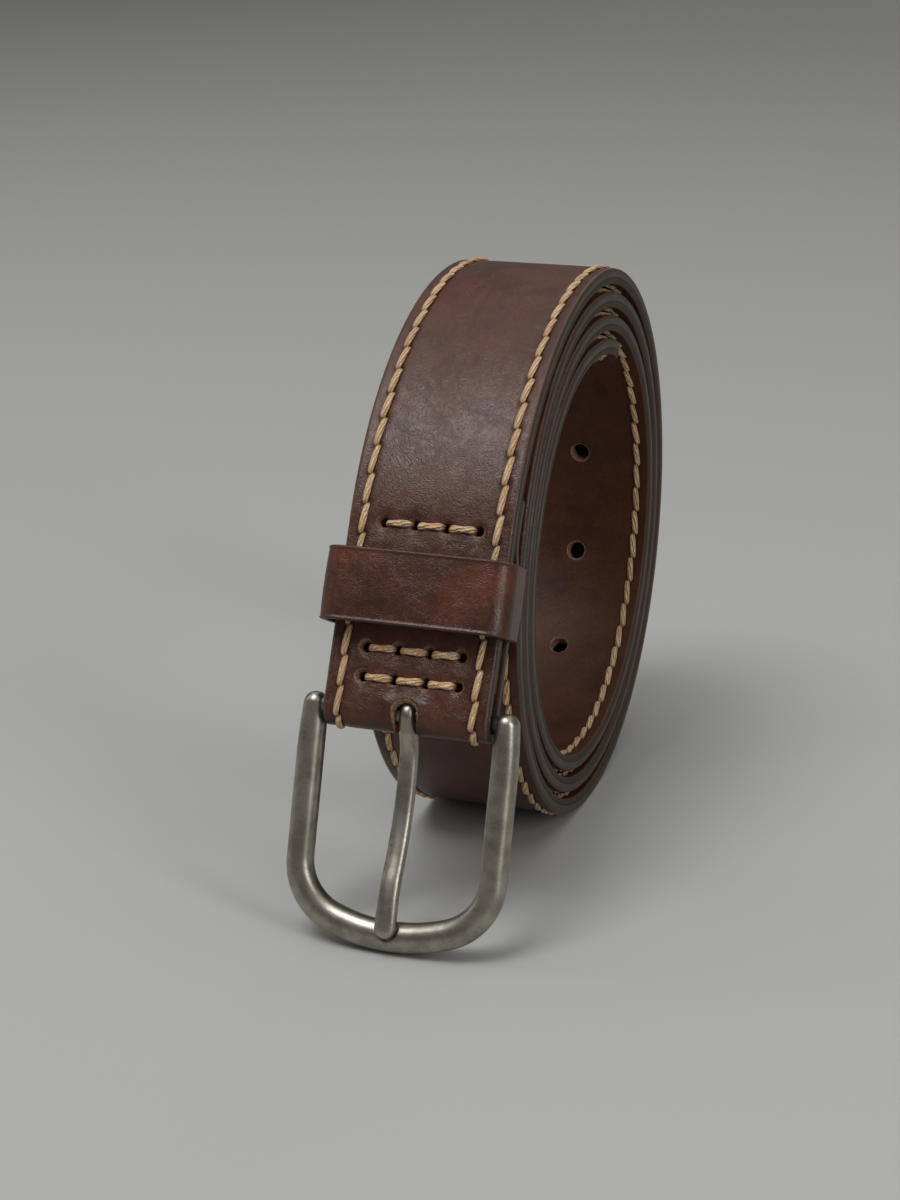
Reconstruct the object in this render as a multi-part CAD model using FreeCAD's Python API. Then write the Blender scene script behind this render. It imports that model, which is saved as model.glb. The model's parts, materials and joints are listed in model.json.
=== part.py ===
"""A gentlemen's leather belt, rolled up and stood on its edge, with its buckle end hanging off the front.

Frame: X along the axis of the roll, buckle towards -Y, +Z up, origin at the middle of the footprint, in mm.
Two leather layers make the strap. The outer one folds round the buckle's bar and comes back as a tab.
"""
import FreeCAD, Part
import math
import os

os.makedirs("parts", exist_ok=True)
V = FreeCAD.Vector

# Driving dimensions
strap_width = 35.0
face_thick = 2.0
lining_thick = 1.5
roll_height = 123.4          # outside of the top turn above the floor
quarter_drop = 1.3           # each quarter turn has a radius this much smaller than the one before
first_run = 1.5              # short flat run at the bottom and top of the first turn
run_growth = 0.85            # what each later turn adds to its flat runs, so the turns bunch at the front
turns = 3
front_radius = 72.0          # the outermost layer's long curve from the top down to the buckle end
front_lean = 25.0            # degrees that the buckle end stands off the vertical
front_run = 37.2             # straight strap from that curve down to the bar
tip_angle = 38.0             # how far the tip goes past the last top
foot_cut = 0.15              # the lowest turn is pressed flat by this much where it stands

bar_diameter = 3.6
fold_gap = 0.25              # between the bar and the leather that wraps it
lining_start = 6.0           # above the bar
tab_bend = (30.5, 37.2)      # between these heights above the bar the tab comes in to the lining
tab_tail = 8.0               # of the tab beyond that, along the strap's curve
tab_gap = 0.1
slot_width = 5.6
slot_top = 2.0

stitch_inset = 3.2
thread_width = 1.2
thread_proud = 0.25
thread_deep = 0.45
rows = {"cross_stitch_lower": 6.3, "cross_stitch_middle": 12.3, "cross_stitch_upper": 37.8}
row_pitch = 6.7
row_holes = 4
row_hole_diameter = 1.9
row_thread = 1.0

prong_hole = 4.2
prong_hole_pitch = 27.0
prong_holes = 7
first_hole_angle = 6.3       # the hole furthest from the tip, above the back of the third turn, in degrees

keeper_low, keeper_high = 16.7, 31.7
keeper_thick = 1.6
keeper_side_gap = 1.05
keeper_front_gap = 4.3       # room for the belt's own tip to pass

frame_half = 23.4
frame_inner_half = 17.95
frame_length = 45.1          # bar to the middle of the front bar
frame_front_width = 6.2
frame_front = 2.6            # of the thickness, this much lies in front of the bar's axis
frame_back = 2.2
frame_front_radius = 40.0
frame_corner_radius = 15.0
notch_width = 5.2
notch_floor = 1.3

prong_width = 4.0
prong_thick = 2.9
prong_ring = 3.3
prong_bore = 2.0
pocket_gap = 0.15            # round the ring, where it is let into the back of the folded leather

tip_length = 16.0            # of the rounded point
trim_margin = 0.6            # that the tip's cutting shape stands clear of the leather
bore_margin = 0.3            # that a hole's cutting shape does, short of the next turn
keeper_corner = 2.4          # inside, at the front
keeper_back_corner = 0.4     # inside, behind
butt_gap = 0.2
staple_span = 8.0
staple_wire = 0.7
leg_short = 0.2              # the staple's legs end this far short of the leather's inside

arm_bow_radius = 50.0        # the upper outside of each arm curves in towards the bar
arm_bow_start = 11.0
arm_end_radius = 2.1
frame_front_round = 2.0
frame_back_round = 0.8

prong_root = (1.4, -2.6)     # where the blade starts below the ring, behind and below the bar's axis
prong_back_tilt = 4.0        # degrees the blade first leans back into the window
prong_straight = 6.8
prong_long_radius = 55.0
prong_forward_tilt = 20.0
prong_end_tilt = 4.0
prong_tip_radius = 25.0
prong_tip_run = 6.3
prong_tip_round = 0.8        # share of half the thickness by which the tip's edges are rounded

strap_half = strap_width / 2
strap_thick = face_thick + lining_thick
fold_outer = bar_diameter / 2 + fold_gap + face_thick


def right_of(heading):
    """The unit vector to the right of a heading, as (y, z)."""
    return math.sin(heading), -math.cos(heading)


class Path:
    """Straights and tangent arcs in the Y-Z plane. Offsets go right of travel, from the grain side in."""

    def __init__(self, y, z, heading_degrees):
        self.y, self.z, self.heading = y, z, math.radians(heading_degrees)
        self.pieces = []
        self.length = 0.0

    def straight(self, length):
        y, z = self.y + length * math.cos(self.heading), self.z + length * math.sin(self.heading)
        self.pieces.append(("straight", (self.y, self.z), (y, z), self.heading))
        self.y, self.z = y, z
        self.length += length
        return self

    def turn(self, radius, degrees):
        """A right turn for positive degrees, a left turn for negative ones; radius is at the grain side."""
        signed = math.copysign(radius, degrees)
        ny, nz = right_of(self.heading)
        centre = (self.y + signed * ny, self.z + signed * nz)
        end = self.heading - math.radians(degrees)
        self.pieces.append(("turn", centre, signed, self.heading, end))
        ny, nz = right_of(end)
        self.y, self.z, self.heading = centre[0] - signed * ny, centre[1] - signed * nz, end
        self.length += radius * abs(math.radians(degrees))
        return self

    def moved(self, dy, dz):
        """The same path, shifted."""
        copy = Path(self.y + dy, self.z + dz, math.degrees(self.heading))
        copy.length = self.length
        for piece in self.pieces:
            if piece[0] == "straight":
                start, end = ((p[0] + dy, p[1] + dz) for p in piece[1:3])
                copy.pieces.append(("straight", start, end, piece[3]))
            else:
                centre = (piece[1][0] + dy, piece[1][1] + dz)
                copy.pieces.append(("turn", centre) + piece[2:])
        return copy


def on_arc(piece, heading, offset, x):
    """The point of an arc where the heading is the one given, at an offset."""
    ny, nz = right_of(heading)
    reach = piece[2] - offset
    return V(x, piece[1][0] - reach * ny, piece[1][1] - reach * nz)


def offset_edge(piece, offset, x):
    """One piece of a path as an edge, moved sideways by an offset."""
    if piece[0] == "straight":
        ny, nz = right_of(piece[3])
        ends = [V(x, p[0] + offset * ny, p[1] + offset * nz) for p in piece[1:3]]
        return Part.LineSegment(*ends).toShape(), ends[0], ends[1]
    headings = (piece[3], (piece[3] + piece[4]) / 2, piece[4])
    start, middle, end = (on_arc(piece, heading, offset, x) for heading in headings)
    return Part.Arc(start, middle, end).toShape(), start, end


def band(pieces, outer, inner, x_low, x_high):
    """A solid that follows a path between two offsets, extruded along X."""
    edges, ends = [], []
    for offset in (outer, inner):
        made = [offset_edge(piece, offset, x_low) for piece in pieces]
        edges += [m[0] for m in made]
        ends.append((made[0][1], made[-1][2]))
    edges.append(Part.LineSegment(ends[0][0], ends[1][0]).toShape())
    edges.append(Part.LineSegment(ends[0][1], ends[1][1]).toShape())
    wire = Part.Wire(Part.__sortEdges__(edges))
    return Part.Face(wire).extrude(V(x_high - x_low, 0, 0))


def along(pieces, distance, depth):
    """The point (y, z) and heading at a distance along a path, all at a depth below the grain side."""
    for piece in pieces:
        if piece[0] == "straight":
            length = math.dist(piece[1], piece[2])
        else:
            length = abs(piece[2] - depth) * abs(piece[4] - piece[3])
        if distance > length:
            distance -= length
            continue
        if piece[0] == "straight":
            ny, nz = right_of(piece[3])
            y, z = (a + (b - a) * distance / length for a, b in zip(piece[1], piece[2]))
            return (y + depth * ny, z + depth * nz), piece[3]
        heading = piece[3] + (piece[4] - piece[3]) * distance / length
        point = on_arc(piece, heading, depth, 0)
        return (point.y, point.z), heading
    raise ValueError("past the end of the path")


def path_length(pieces, depth):
    """The length of a path at a depth below the grain side."""
    return sum(
        math.dist(p[1], p[2]) if p[0] == "straight" else abs(p[2] - depth) * abs(p[4] - p[3]) for p in pieces
    )


def strap_path():
    """The outer leather's grain side, from the tab's end round the bar and along the roll to the tip."""
    bend = tab_bend[1] - tab_bend[0]
    shift = 2 * (fold_outer - face_thick) - lining_thick - tab_gap
    bend_angle = 2 * math.atan(shift / bend)
    bend_radius = bend / (2 * math.sin(bend_angle))
    tail_radius = front_radius - strap_thick - tab_gap - face_thick
    tail_angle = math.degrees(tab_tail / tail_radius)
    path = Path(0, 0, -90 - front_lean - tail_angle)
    path.turn(tail_radius, -tail_angle)
    path.turn(bend_radius, -math.degrees(bend_angle)).turn(bend_radius, math.degrees(bend_angle))
    path.straight(tab_bend[0])
    ny, nz = right_of(path.heading)
    marks = {"bar": (path.y + fold_outer * ny, path.z + fold_outer * nz)}
    path.turn(fold_outer, 180).straight(lining_start)
    marks["lining"] = len(path.pieces)
    path.straight(front_run - lining_start).turn(front_radius, 90 - front_lean)
    radius = (roll_height + foot_cut + quarter_drop) / 2
    for turn in range(turns):
        run = first_run + turn * run_growth
        marks["top"] = len(path.pieces)
        for quarter in range(4):
            path.turn(radius, 90)
            radius -= quarter_drop
            if turn == 0 and quarter < 2:
                marks["back" if quarter == 0 else "foot"] = (path.y, path.z)
            if quarter % 2:
                path.straight(run)
    point_angle = math.degrees(tip_length / radius)
    path.turn(radius, tip_angle - point_angle).turn(radius, point_angle)
    return path, marks


def straight_frame(shape, bar, lean):
    """Moves a shape from a frame with the bar at its origin and the strap upright to its place and lean."""
    turned = shape.copy()
    turned.Placement = FreeCAD.Placement(V(0, *bar), FreeCAD.Rotation(V(1, 0, 0), -lean))
    return turned


def box(x_low, x_high, y_low, y_high, z_low, z_high):
    """A box between two corners."""
    return Part.makeBox(x_high - x_low, y_high - y_low, z_high - z_low, V(x_low, y_low, z_low))


def rounded_box(x_half, y_low, y_high, z_low, z_high, front_corner, back_corner):
    """An upright box whose four upright edges are rounded, the front two more than the back two."""
    body = box(-x_half, x_half, y_low, y_high, z_low, z_high)
    for y, radius in ((y_low, front_corner), (y_high, back_corner)):
        edges = [
            e for e in body.Edges
            if abs(e.BoundBox.ZLength - (z_high - z_low)) < 1e-6
            and abs(e.BoundBox.Center.y - y) < 1e-6 and abs(abs(e.BoundBox.Center.x) - x_half) < 1e-6
        ]
        body = body.makeFillet(radius, edges)
    return body


def strap_slot():
    """The prong's slot, round-ended and through the fold, and the pocket inside it for the prong's ring."""
    half = slot_width / 2
    reach = 2 * fold_outer
    slot = box(-half, half, -reach, reach, -reach, slot_top - half)
    end = Part.makeCylinder(half, 2 * reach, V(0, -reach, slot_top - half), V(0, 1, 0))
    pocket_half = prong_width / 2 + 2 * pocket_gap
    pocket = Part.makeCylinder(prong_ring + pocket_gap, 2 * pocket_half, V(-pocket_half, 0, 0), V(1, 0, 0))
    return slot.fuse([end, pocket])


def row_points():
    """Where a row of cross stitching is pierced, across the strap."""
    return [(i - (row_holes - 1) / 2) * row_pitch for i in range(row_holes)]


def tab_back(height):
    """How far behind the bar's axis the tab's grain side lies at a row's height."""
    return fold_outer - tab_creep(height)


def tab_creep(height):
    """How far the tab has come in towards the lining at a height above the bar, along its two equal arcs."""
    low, high = tab_bend
    shift = 2 * (fold_outer - face_thick) - lining_thick - tab_gap
    t = min(max((height - low) / (high - low), 0), 1)
    angle = 2 * math.atan(shift / (high - low))
    radius = (high - low) / (2 * math.sin(angle))
    if t <= 0.5:
        return radius - math.sqrt(radius**2 - (t * (high - low)) ** 2)
    return shift - (radius - math.sqrt(radius**2 - ((1 - t) * (high - low)) ** 2))


def cross_stitches(height):
    """One thread: a post through each hole, and short bars between them before and behind the strap."""
    front, back = -fold_outer, tab_back(height)
    half = row_thread / 2
    thread = None
    for x in row_points():
        post = Part.makeCylinder(half, back - front, V(x, front, height), V(0, 1, 0))
        thread = post if thread is None else thread.fuse(post)
    low, high = row_points()[0], row_points()[-1]
    for y in (front - thread_proud, back + thread_proud):
        bar = Part.makeCylinder(half, high - low, V(low, y, height), V(1, 0, 0))
        thread = thread.fuse(bar)
    return thread.removeSplitter()


def row_bores(height):
    """The pierced holes of one row, a little wider than the thread, through every layer."""
    front, back = -fold_outer, tab_back(height)
    bores = None
    for x in row_points():
        bore = Part.makeCylinder(row_hole_diameter / 2, back - front + 2, V(x, front - 1, height), V(0, 1, 0))
        bores = bore if bores is None else bores.fuse(bore)
    return bores


def prong_bores(pieces, start):
    """The holes for the prong, spaced along the middle of the strap from the first one."""
    radius = abs(pieces[start][2]) - strap_thick / 2
    first = radius * math.radians(90 - first_hole_angle)
    depth = strap_thick + 2 * bore_margin
    bores = []
    for i in range(prong_holes):
        (y, z), heading = along(pieces[start:], first + i * prong_hole_pitch, -bore_margin)
        bores.append(Part.makeCylinder(prong_hole / 2, depth, V(0, y, z), V(0, *right_of(heading))))
    return bores


def tip_waste(pieces):
    """What is trimmed from the last stretch to leave a rounded point, half an ellipse in plan."""
    last = pieces[-1]
    zone = band([last], -trim_margin, strap_thick + trim_margin, -strap_half - 1, strap_half + 1)
    middle = (last[3] + last[4]) / 2
    base = on_arc(last, last[3], strap_thick / 2, 0)
    chord = (on_arc(last, last[4], 0, 0) - on_arc(last, last[3], 0, 0)).Length
    ellipse = Part.Ellipse(V(0, 0, 0), strap_half, chord)
    height = 6 * strap_thick
    disc = Part.Face(Part.Wire([ellipse.toShape()])).extrude(V(0, 0, height))
    disc.translate(V(0, 0, -height / 2))
    across, ahead = V(1, 0, 0), V(0, math.cos(middle), math.sin(middle))
    normal = across.cross(ahead)
    disc = disc.transformGeometry(FreeCAD.Matrix(
        across.x, ahead.x, normal.x, base.x,
        across.y, ahead.y, normal.y, base.y,
        across.z, ahead.z, normal.z, base.z,
        0, 0, 0, 1,
    ))
    return zone.cut(disc)


def corner_arcs(half, corner, front, length):
    """Three points of a frame outline's +X side: the arm's lower end, the corner's middle and its end."""
    sine = (half - corner) / (front - corner)
    cosine = math.sqrt(1 - sine**2)
    depth = length - front * (1 - cosine) - corner * cosine
    centre = (half - corner, -depth)
    turn = math.acos(sine) / 2
    arm = V(half, 0, -depth)
    middle = V(centre[0] + corner * math.cos(turn), 0, centre[1] - corner * math.sin(turn))
    end = V(front * sine, 0, -(length - front * (1 - cosine)))
    return arm, middle, end


def frame_outline():
    """The buckle frame flat: two arms, round corners and a bowed front bar, with a round end to each arm."""
    outer_length = frame_length + frame_front_width / 2
    inner_length = frame_length - frame_front_width / 2
    inner_front = frame_front_radius - frame_front_width
    inner_corner = frame_corner_radius - (frame_half - frame_inner_half)
    edges = []
    for half, corner, front, length in (
        (frame_half, frame_corner_radius, frame_front_radius, outer_length),
        (frame_inner_half, inner_corner, inner_front, inner_length),
    ):
        arm, middle, end = corner_arcs(half, corner, front, length)
        for side in (1, -1):
            flip = [V(side * p.x, 0, p.z) for p in (arm, middle, end)]
            edges.append(Part.Arc(*flip).toShape())
        edges.append(Part.Arc(end, V(0, 0, -length), V(-end.x, 0, end.z)).toShape())
        top = -arm_bow_start if half == frame_half else end_centre()[1]
        for side in (1, -1):
            edges.append(Part.LineSegment(V(side * half, 0, arm.z), V(side * half, 0, top)).toShape())
    for side in (1, -1):
        edges += arm_end(side)
    return Part.Face(Part.Wire(Part.__sortEdges__(edges)))


def end_centre():
    """The middle of an arm's round end, which touches the arm's inner edge and its bowed outer edge."""
    x = frame_inner_half + arm_end_radius
    bow_x = frame_half - arm_bow_radius
    rise = math.sqrt((arm_bow_radius - arm_end_radius) ** 2 - (x - bow_x) ** 2)
    return x, rise - arm_bow_start


def arm_end(side):
    """The bowed upper part of an arm's outer edge and the round end, as two arcs."""
    x, z = end_centre()
    bow_x, bow_z = frame_half - arm_bow_radius, -arm_bow_start
    angle = math.atan2(z - bow_z, x - bow_x)

    def at(centre_x, centre_z, radius, turn):
        return V(side * (centre_x + radius * math.cos(turn)), 0, centre_z + radius * math.sin(turn))

    bow = [at(bow_x, bow_z, arm_bow_radius, t) for t in (0, angle / 2, angle)]
    end = [at(x, z, arm_end_radius, t) for t in (angle, (angle + math.pi) / 2, math.pi)]
    return [Part.Arc(*bow).toShape(), Part.Arc(*end).toShape()]


def buckle_frame():
    """The cast frame with its bar, front edges well rounded, and the notch that the prong's tip rests in."""
    plate = frame_outline().extrude(V(0, frame_front + frame_back, 0))
    plate.translate(V(0, -frame_front, 0))
    for y, radius in ((-frame_front, frame_front_round), (frame_back, frame_back_round)):
        flat = [e for e in plate.Edges if e.BoundBox.YLength < 1e-6 and abs(e.BoundBox.Center.y - y) < 1e-6]
        plate = plate.makeFillet(radius, flat)
    bar_half = frame_inner_half + 1
    bar = Part.makeCylinder(bar_diameter / 2, 2 * bar_half, V(-bar_half, 0, 0), V(1, 0, 0))
    reach = frame_length + frame_front_width
    notch = box(-notch_width / 2, notch_width / 2, -2 * frame_front, -notch_floor, -reach, -reach / 2)
    return plate.fuse(bar).cut(notch).removeSplitter()


def prong():
    """A ring on the bar, and a blade that dips into the window and comes forward over the front bar."""
    path = Path(prong_root[0], prong_root[1], -90 + prong_back_tilt)
    path.straight(prong_straight)
    path.turn(prong_long_radius, prong_back_tilt + prong_forward_tilt)
    path.turn(prong_tip_radius, -(prong_forward_tilt - prong_end_tilt))
    path.straight(prong_tip_run)
    half = prong_thick / 2
    side = prong_width / 2
    blade = band(path.pieces, -half, half, -side, side)
    edges = [
        e for e in blade.Edges
        if e.BoundBox.XLength > prong_width - 0.01
        and math.hypot(e.BoundBox.Center.y - path.y, e.BoundBox.Center.z - path.z) < half + 0.1
    ]
    blade = blade.makeFillet(half * prong_tip_round, edges)
    reach = 4 * prong_thick
    plan_end = Part.makeCylinder(side, 2 * reach, V(0, -reach, path.z + side), V(0, 1, 0))
    corner = box(-prong_width, prong_width, -reach, reach, path.z - prong_thick, path.z + side)
    blade = blade.cut(corner.cut(plan_end))
    ring = Part.makeCylinder(prong_ring, prong_width, V(-side, 0, 0), V(1, 0, 0))
    bore = Part.makeCylinder(prong_bore, 2 * prong_width, V(-prong_width, 0, 0), V(1, 0, 0))
    return blade.fuse(ring).cut(bore).removeSplitter()


def keeper_and_staple():
    """The loop round the strap, closed behind it by a staple across a butt joint."""
    lining_back = -fold_outer + strap_thick
    tab_front = fold_outer - face_thick
    back_middle = (lining_back + tab_front) / 2
    inner_back, outer_back = back_middle - keeper_thick / 2, back_middle + keeper_thick / 2
    inner_front = -fold_outer - keeper_front_gap
    inner_half = strap_half + keeper_side_gap
    outer = rounded_box(
        inner_half + keeper_thick, inner_front - keeper_thick, outer_back, keeper_low, keeper_high,
        keeper_corner + keeper_thick, keeper_thick,
    )
    low, high = keeper_low - 1, keeper_high + 1
    inner = rounded_box(inner_half, inner_front, inner_back, low, high, keeper_corner, keeper_back_corner)
    loop = outer.cut(inner)
    joint = box(-butt_gap / 2, butt_gap / 2, inner_back - 1, outer_back + 1, low, high)
    middle = (keeper_low + keeper_high) / 2
    half, wire = staple_span / 2, staple_wire
    wire_low, wire_high = middle - wire / 2, middle + wire / 2
    staple = box(-half, half, outer_back - wire, outer_back, wire_low, wire_high)
    for side in (-1, 1):
        x = side * (half - wire / 2)
        leg = box(x - wire / 2, x + wire / 2, inner_back + leg_short, outer_back, wire_low, wire_high)
        staple = staple.fuse(leg)
    staple = staple.removeSplitter()
    return loop.cut(joint).cut(staple), staple


def frame_lean(bar_height):
    """The angle at which the frame's front bar just touches the floor, in degrees."""
    length = frame_length + frame_front_width / 2 - frame_back_round
    behind = frame_back - frame_back_round
    reach = math.hypot(length, behind)
    return math.degrees(math.atan2(behind, length) + math.acos((bar_height - frame_back_round) / reach))


def thread_bands(pieces, outer, inner):
    """The stitching thread along both edges, drawn as one flat cord each."""
    solids = {}
    for name, side in (("left", -1), ("right", 1)):
        middle = side * (strap_half - stitch_inset)
        solids[name] = band(pieces, outer, inner, middle - thread_width / 2, middle + thread_width / 2)
    return solids


def belt():
    """Every piece of the belt by its node name, and the places that the record needs."""
    path, marks = strap_path()
    path = path.moved(0, -foot_cut - marks["foot"][1])
    bar = (marks["bar"][0], marks["bar"][1] - foot_cut - marks["foot"][1])
    lining_pieces = path.pieces[marks["lining"]:]
    floor = box(-60, 60, bar[0] - 100, bar[0] + 300, -20, 0)

    face = band(path.pieces, 0, face_thick, -strap_half, strap_half)
    lining = band(lining_pieces, face_thick, strap_thick, -strap_half, strap_half)
    waste = tip_waste(path.pieces)
    cuts = [waste, floor] + prong_bores(path.pieces, marks["top"])
    rows_made = {}
    for name, height in rows.items():
        cuts.append(straight_frame(row_bores(height), bar, front_lean))
        rows_made[name] = straight_frame(cross_stitches(height), bar, front_lean)
    slot = straight_frame(strap_slot(), bar, front_lean)

    face_threads = thread_bands(path.pieces[:-1], -thread_proud, thread_deep)
    lining_threads = thread_bands(lining_pieces[:-1], strap_thick - thread_deep, strap_thick + thread_proud)
    face_threads = {k: s.cut(floor) for k, s in face_threads.items()}
    sewn = list(lining_threads.values()) + list(rows_made.values())
    made = {
        "strap_face": face.cut(cuts + [slot] + list(face_threads.values()) + sewn),
        "strap_lining": lining.cut(cuts + sewn),
    }
    for side in ("left", "right"):
        made["face_thread_" + side] = face_threads[side]
        made["lining_thread_" + side] = lining_threads[side]
    made.update(rows_made)
    keeper, staple = keeper_and_staple()
    made["keeper"] = straight_frame(keeper, bar, front_lean)
    made["keeper_staple"] = straight_frame(staple, bar, front_lean)
    lean = frame_lean(bar[1])
    made["buckle_frame"] = straight_frame(buckle_frame(), bar, lean)
    made["prong"] = straight_frame(prong(), bar, lean)

    back = marks["back"][0] + thread_proud
    front = made["buckle_frame"].optimalBoundingBox(False).YMin
    shift = -(front + back) / 2
    for shape in made.values():
        shape.translate(V(0, shift, 0))
    bar = (bar[0] + shift, bar[1])
    print("bar axis y, z:", [round(v, 4) for v in bar], "frame lean:", round(lean, 3))
    up = (math.sin(math.radians(front_lean)), math.cos(math.radians(front_lean)))
    print("up the strap:", [round(v, 6) for v in up], "foot y:", round(marks["foot"][0] + shift, 3))
    fold_to_tip = path_length(path.pieces[marks["lining"] - 1:], strap_thick / 2)
    print("strap from the bar to the tip:", round(fold_to_tip, 1))
    return made


for name, shape in belt().items():
    shape = shape.Solids[0] if len(shape.Solids) == 1 else Part.makeCompound(shape.Solids)
    size = shape.optimalBoundingBox(False)
    print(name, len(shape.Solids), "valid" if shape.isValid() else "NOT VALID", round(shape.Volume, 1),
          [round(v, 2) for v in (size.XMin, size.YMin, size.ZMin, size.XMax, size.YMax, size.ZMax)])
    shape.exportStep(f"parts/{name}.step")
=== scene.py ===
# %% [markdown]
# # A rolled leather belt
#
# This lesson dresses a leather belt that a CAD model has already sized. The belt is rolled up and stands on
# its edge, with the buckle end hanging off the front of the roll. Every piece is a surface worked out with
# numpy: a section carried along a route, or a loft between two outlines. Lengths are in millimetres until a
# mesh is made.

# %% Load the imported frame
import json
import math

import bpy
import numpy as np
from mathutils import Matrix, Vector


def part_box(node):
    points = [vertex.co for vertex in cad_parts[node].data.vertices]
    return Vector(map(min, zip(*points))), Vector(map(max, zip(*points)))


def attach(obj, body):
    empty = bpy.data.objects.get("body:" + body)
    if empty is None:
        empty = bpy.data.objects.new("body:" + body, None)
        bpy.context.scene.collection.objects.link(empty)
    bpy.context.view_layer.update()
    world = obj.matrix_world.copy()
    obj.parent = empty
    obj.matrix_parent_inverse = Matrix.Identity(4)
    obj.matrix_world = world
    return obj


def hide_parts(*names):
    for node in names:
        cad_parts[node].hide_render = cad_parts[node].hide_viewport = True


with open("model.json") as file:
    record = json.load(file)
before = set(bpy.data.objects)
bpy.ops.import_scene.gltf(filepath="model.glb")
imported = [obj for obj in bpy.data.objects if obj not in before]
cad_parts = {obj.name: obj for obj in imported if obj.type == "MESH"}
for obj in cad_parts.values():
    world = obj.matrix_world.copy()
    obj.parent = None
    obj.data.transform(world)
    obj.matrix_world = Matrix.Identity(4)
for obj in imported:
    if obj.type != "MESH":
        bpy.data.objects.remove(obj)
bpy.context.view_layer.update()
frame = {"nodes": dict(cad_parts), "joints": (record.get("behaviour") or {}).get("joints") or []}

print("nodes:", sorted(frame["nodes"]))

# %% [markdown]
# ## Places that come from the CAD model
#
# The buckle's bar is the pivot of everything at the front, so its joint gives its place. The keeper slides up
# the strap, so its joint gives the strap's lean. The boxes of the leather nodes give the strap's width and
# height.

# %% Read the driving places
PER_METRE = 1000.0
joint = {j["name"]: j for j in frame["joints"]}
bar_y, bar_z = (v * PER_METRE for v in joint["buckle_swing"]["pos_m"][1:])
up_y, up_z = joint["keeper_slide"]["axis"][1:]
strap_lean = math.degrees(math.atan2(up_y, up_z))
face_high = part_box("strap_face")[1]
strap_half = face_high.x * PER_METRE
roll_height = face_high.z * PER_METRE
print(f"bar at y {bar_y:.2f}, z {bar_z:.2f}; "
      f"the strap is {2 * strap_half:.1f} wide and leans {strap_lean:.1f} degrees")

# %% [markdown]
# ## Surfaces
#
# A surface here is an array of shape (pieces, rows, columns, 3): so many equal pieces, each a tube of rows
# along its length and columns round its section. The faces are index arithmetic on that array, so no loop
# runs over vertices. Both ends of each tube are closed with one flat face. UVs carry real millimetres, or a
# share of the length, so that a pattern can follow the surface.

# %% Turn arrays into meshes
def tube_faces(points):
    """The quads of each tube and its two end faces; row r, column c is vertex r * columns + c."""
    pieces, rows, columns = points.shape[:3]
    first = np.arange(pieces)[:, None, None] * rows * columns
    r = np.arange(rows - 1)[None, :, None]
    c = np.arange(columns)[None, None, :]
    following = (c + 1) % columns
    corners = [r * columns + c, r * columns + following, (r + 1) * columns + following, (r + 1) * columns + c]
    quads = np.stack([first + corner for corner in corners], -1).reshape(-1, 4)
    ring = np.arange(columns)[None, :]
    ends = np.concatenate([first[:, 0] + ring[:, ::-1], first[:, 0] + (rows - 1) * columns + ring])
    return quads, ends


def tube_uvs(uv):
    """The same faces' UVs, from an array with one column more than the tube, which closes the seam."""
    corners = [uv[:, :-1, :-1], uv[:, :-1, 1:], uv[:, 1:, 1:], uv[:, 1:, :-1]]
    quads = np.stack(corners, -2).reshape(-1, 2)
    ends = np.concatenate([uv[:, 0, -2::-1], uv[:, -1, :-1]]).reshape(-1, 2)
    return np.concatenate([quads, ends])


def plain_uvs(points):
    """UVs that run from 0 to 1 round each tube and along it."""
    pieces, rows, columns = points.shape[:3]
    u = np.broadcast_to(np.linspace(0, 1, columns + 1), (pieces, rows, columns + 1))
    v = np.broadcast_to(np.linspace(0, 1, rows)[None, :, None], (pieces, rows, columns + 1))
    return np.stack([u, v], -1)


def side_volume(points):
    """Which way the first tube's quads face: the sum of a . (b x c), seen from the tube's own middle."""
    tube = points[0] - points[0].mean((0, 1))
    a, b, c, d = tube[:-1], np.roll(tube, -1, 1)[:-1], np.roll(tube, -1, 1)[1:], tube[1:]
    return float((a * np.cross(b, c)).sum() + (a * np.cross(c, d)).sum())


def make_mesh(name, parts):
    """One object from (points in mm, uvs or None) parts, with its faces turned outwards."""
    vertices, indices, totals, uvs = [], [], [], []
    count = 0
    for points, uv in parts:
        if points.ndim == 3:
            points = points[None]
        uv = plain_uvs(points) if uv is None else np.broadcast_to(uv, points.shape[:1] + uv.shape[-3:])
        if side_volume(points) < 0:
            points, uv = points[:, ::-1], uv[:, ::-1]
        quads, ends = tube_faces(points)
        vertices.append(points.reshape(-1, 3) / PER_METRE)
        indices += [(quads + count).ravel(), (ends + count).ravel()]
        totals += [np.full(len(quads), 4), np.full(len(ends), ends.shape[1])]
        uvs.append(tube_uvs(uv))
        count += points[..., 0].size
    vertices, indices, totals, uvs = (np.concatenate(a) for a in (vertices, indices, totals, uvs))
    mesh = bpy.data.meshes.new(name)
    mesh.vertices.add(len(vertices))
    mesh.vertices.foreach_set("co", vertices.astype(np.float32).ravel())
    mesh.loops.add(len(indices))
    mesh.loops.foreach_set("vertex_index", indices.astype(np.int32))
    mesh.polygons.add(len(totals))
    mesh.polygons.foreach_set("loop_start", (np.cumsum(totals) - totals).astype(np.int32))
    mesh.uv_layers.new(name="surface").data.foreach_set("uv", uvs.astype(np.float32).ravel())
    mesh.update(calc_edges=True)
    mesh.validate()
    mesh.shade_smooth()
    obj = bpy.data.objects.new(name, mesh)
    bpy.context.scene.collection.objects.link(obj)
    return obj


def volume_of(mesh):
    """Six times the volume: the sum over triangles of a . (b x c), positive if faces look outwards."""
    mesh.calc_loop_triangles()
    triangles = np.zeros(len(mesh.loop_triangles) * 3, np.int32)
    mesh.loop_triangles.foreach_get("vertices", triangles)
    co = np.zeros(len(mesh.vertices) * 3)
    mesh.vertices.foreach_get("co", co)
    a, b, c = co.reshape(-1, 3)[triangles.reshape(-1, 3)].transpose(1, 0, 2)
    return float(np.einsum("ij,ij->", a, np.cross(b, c)))


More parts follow.
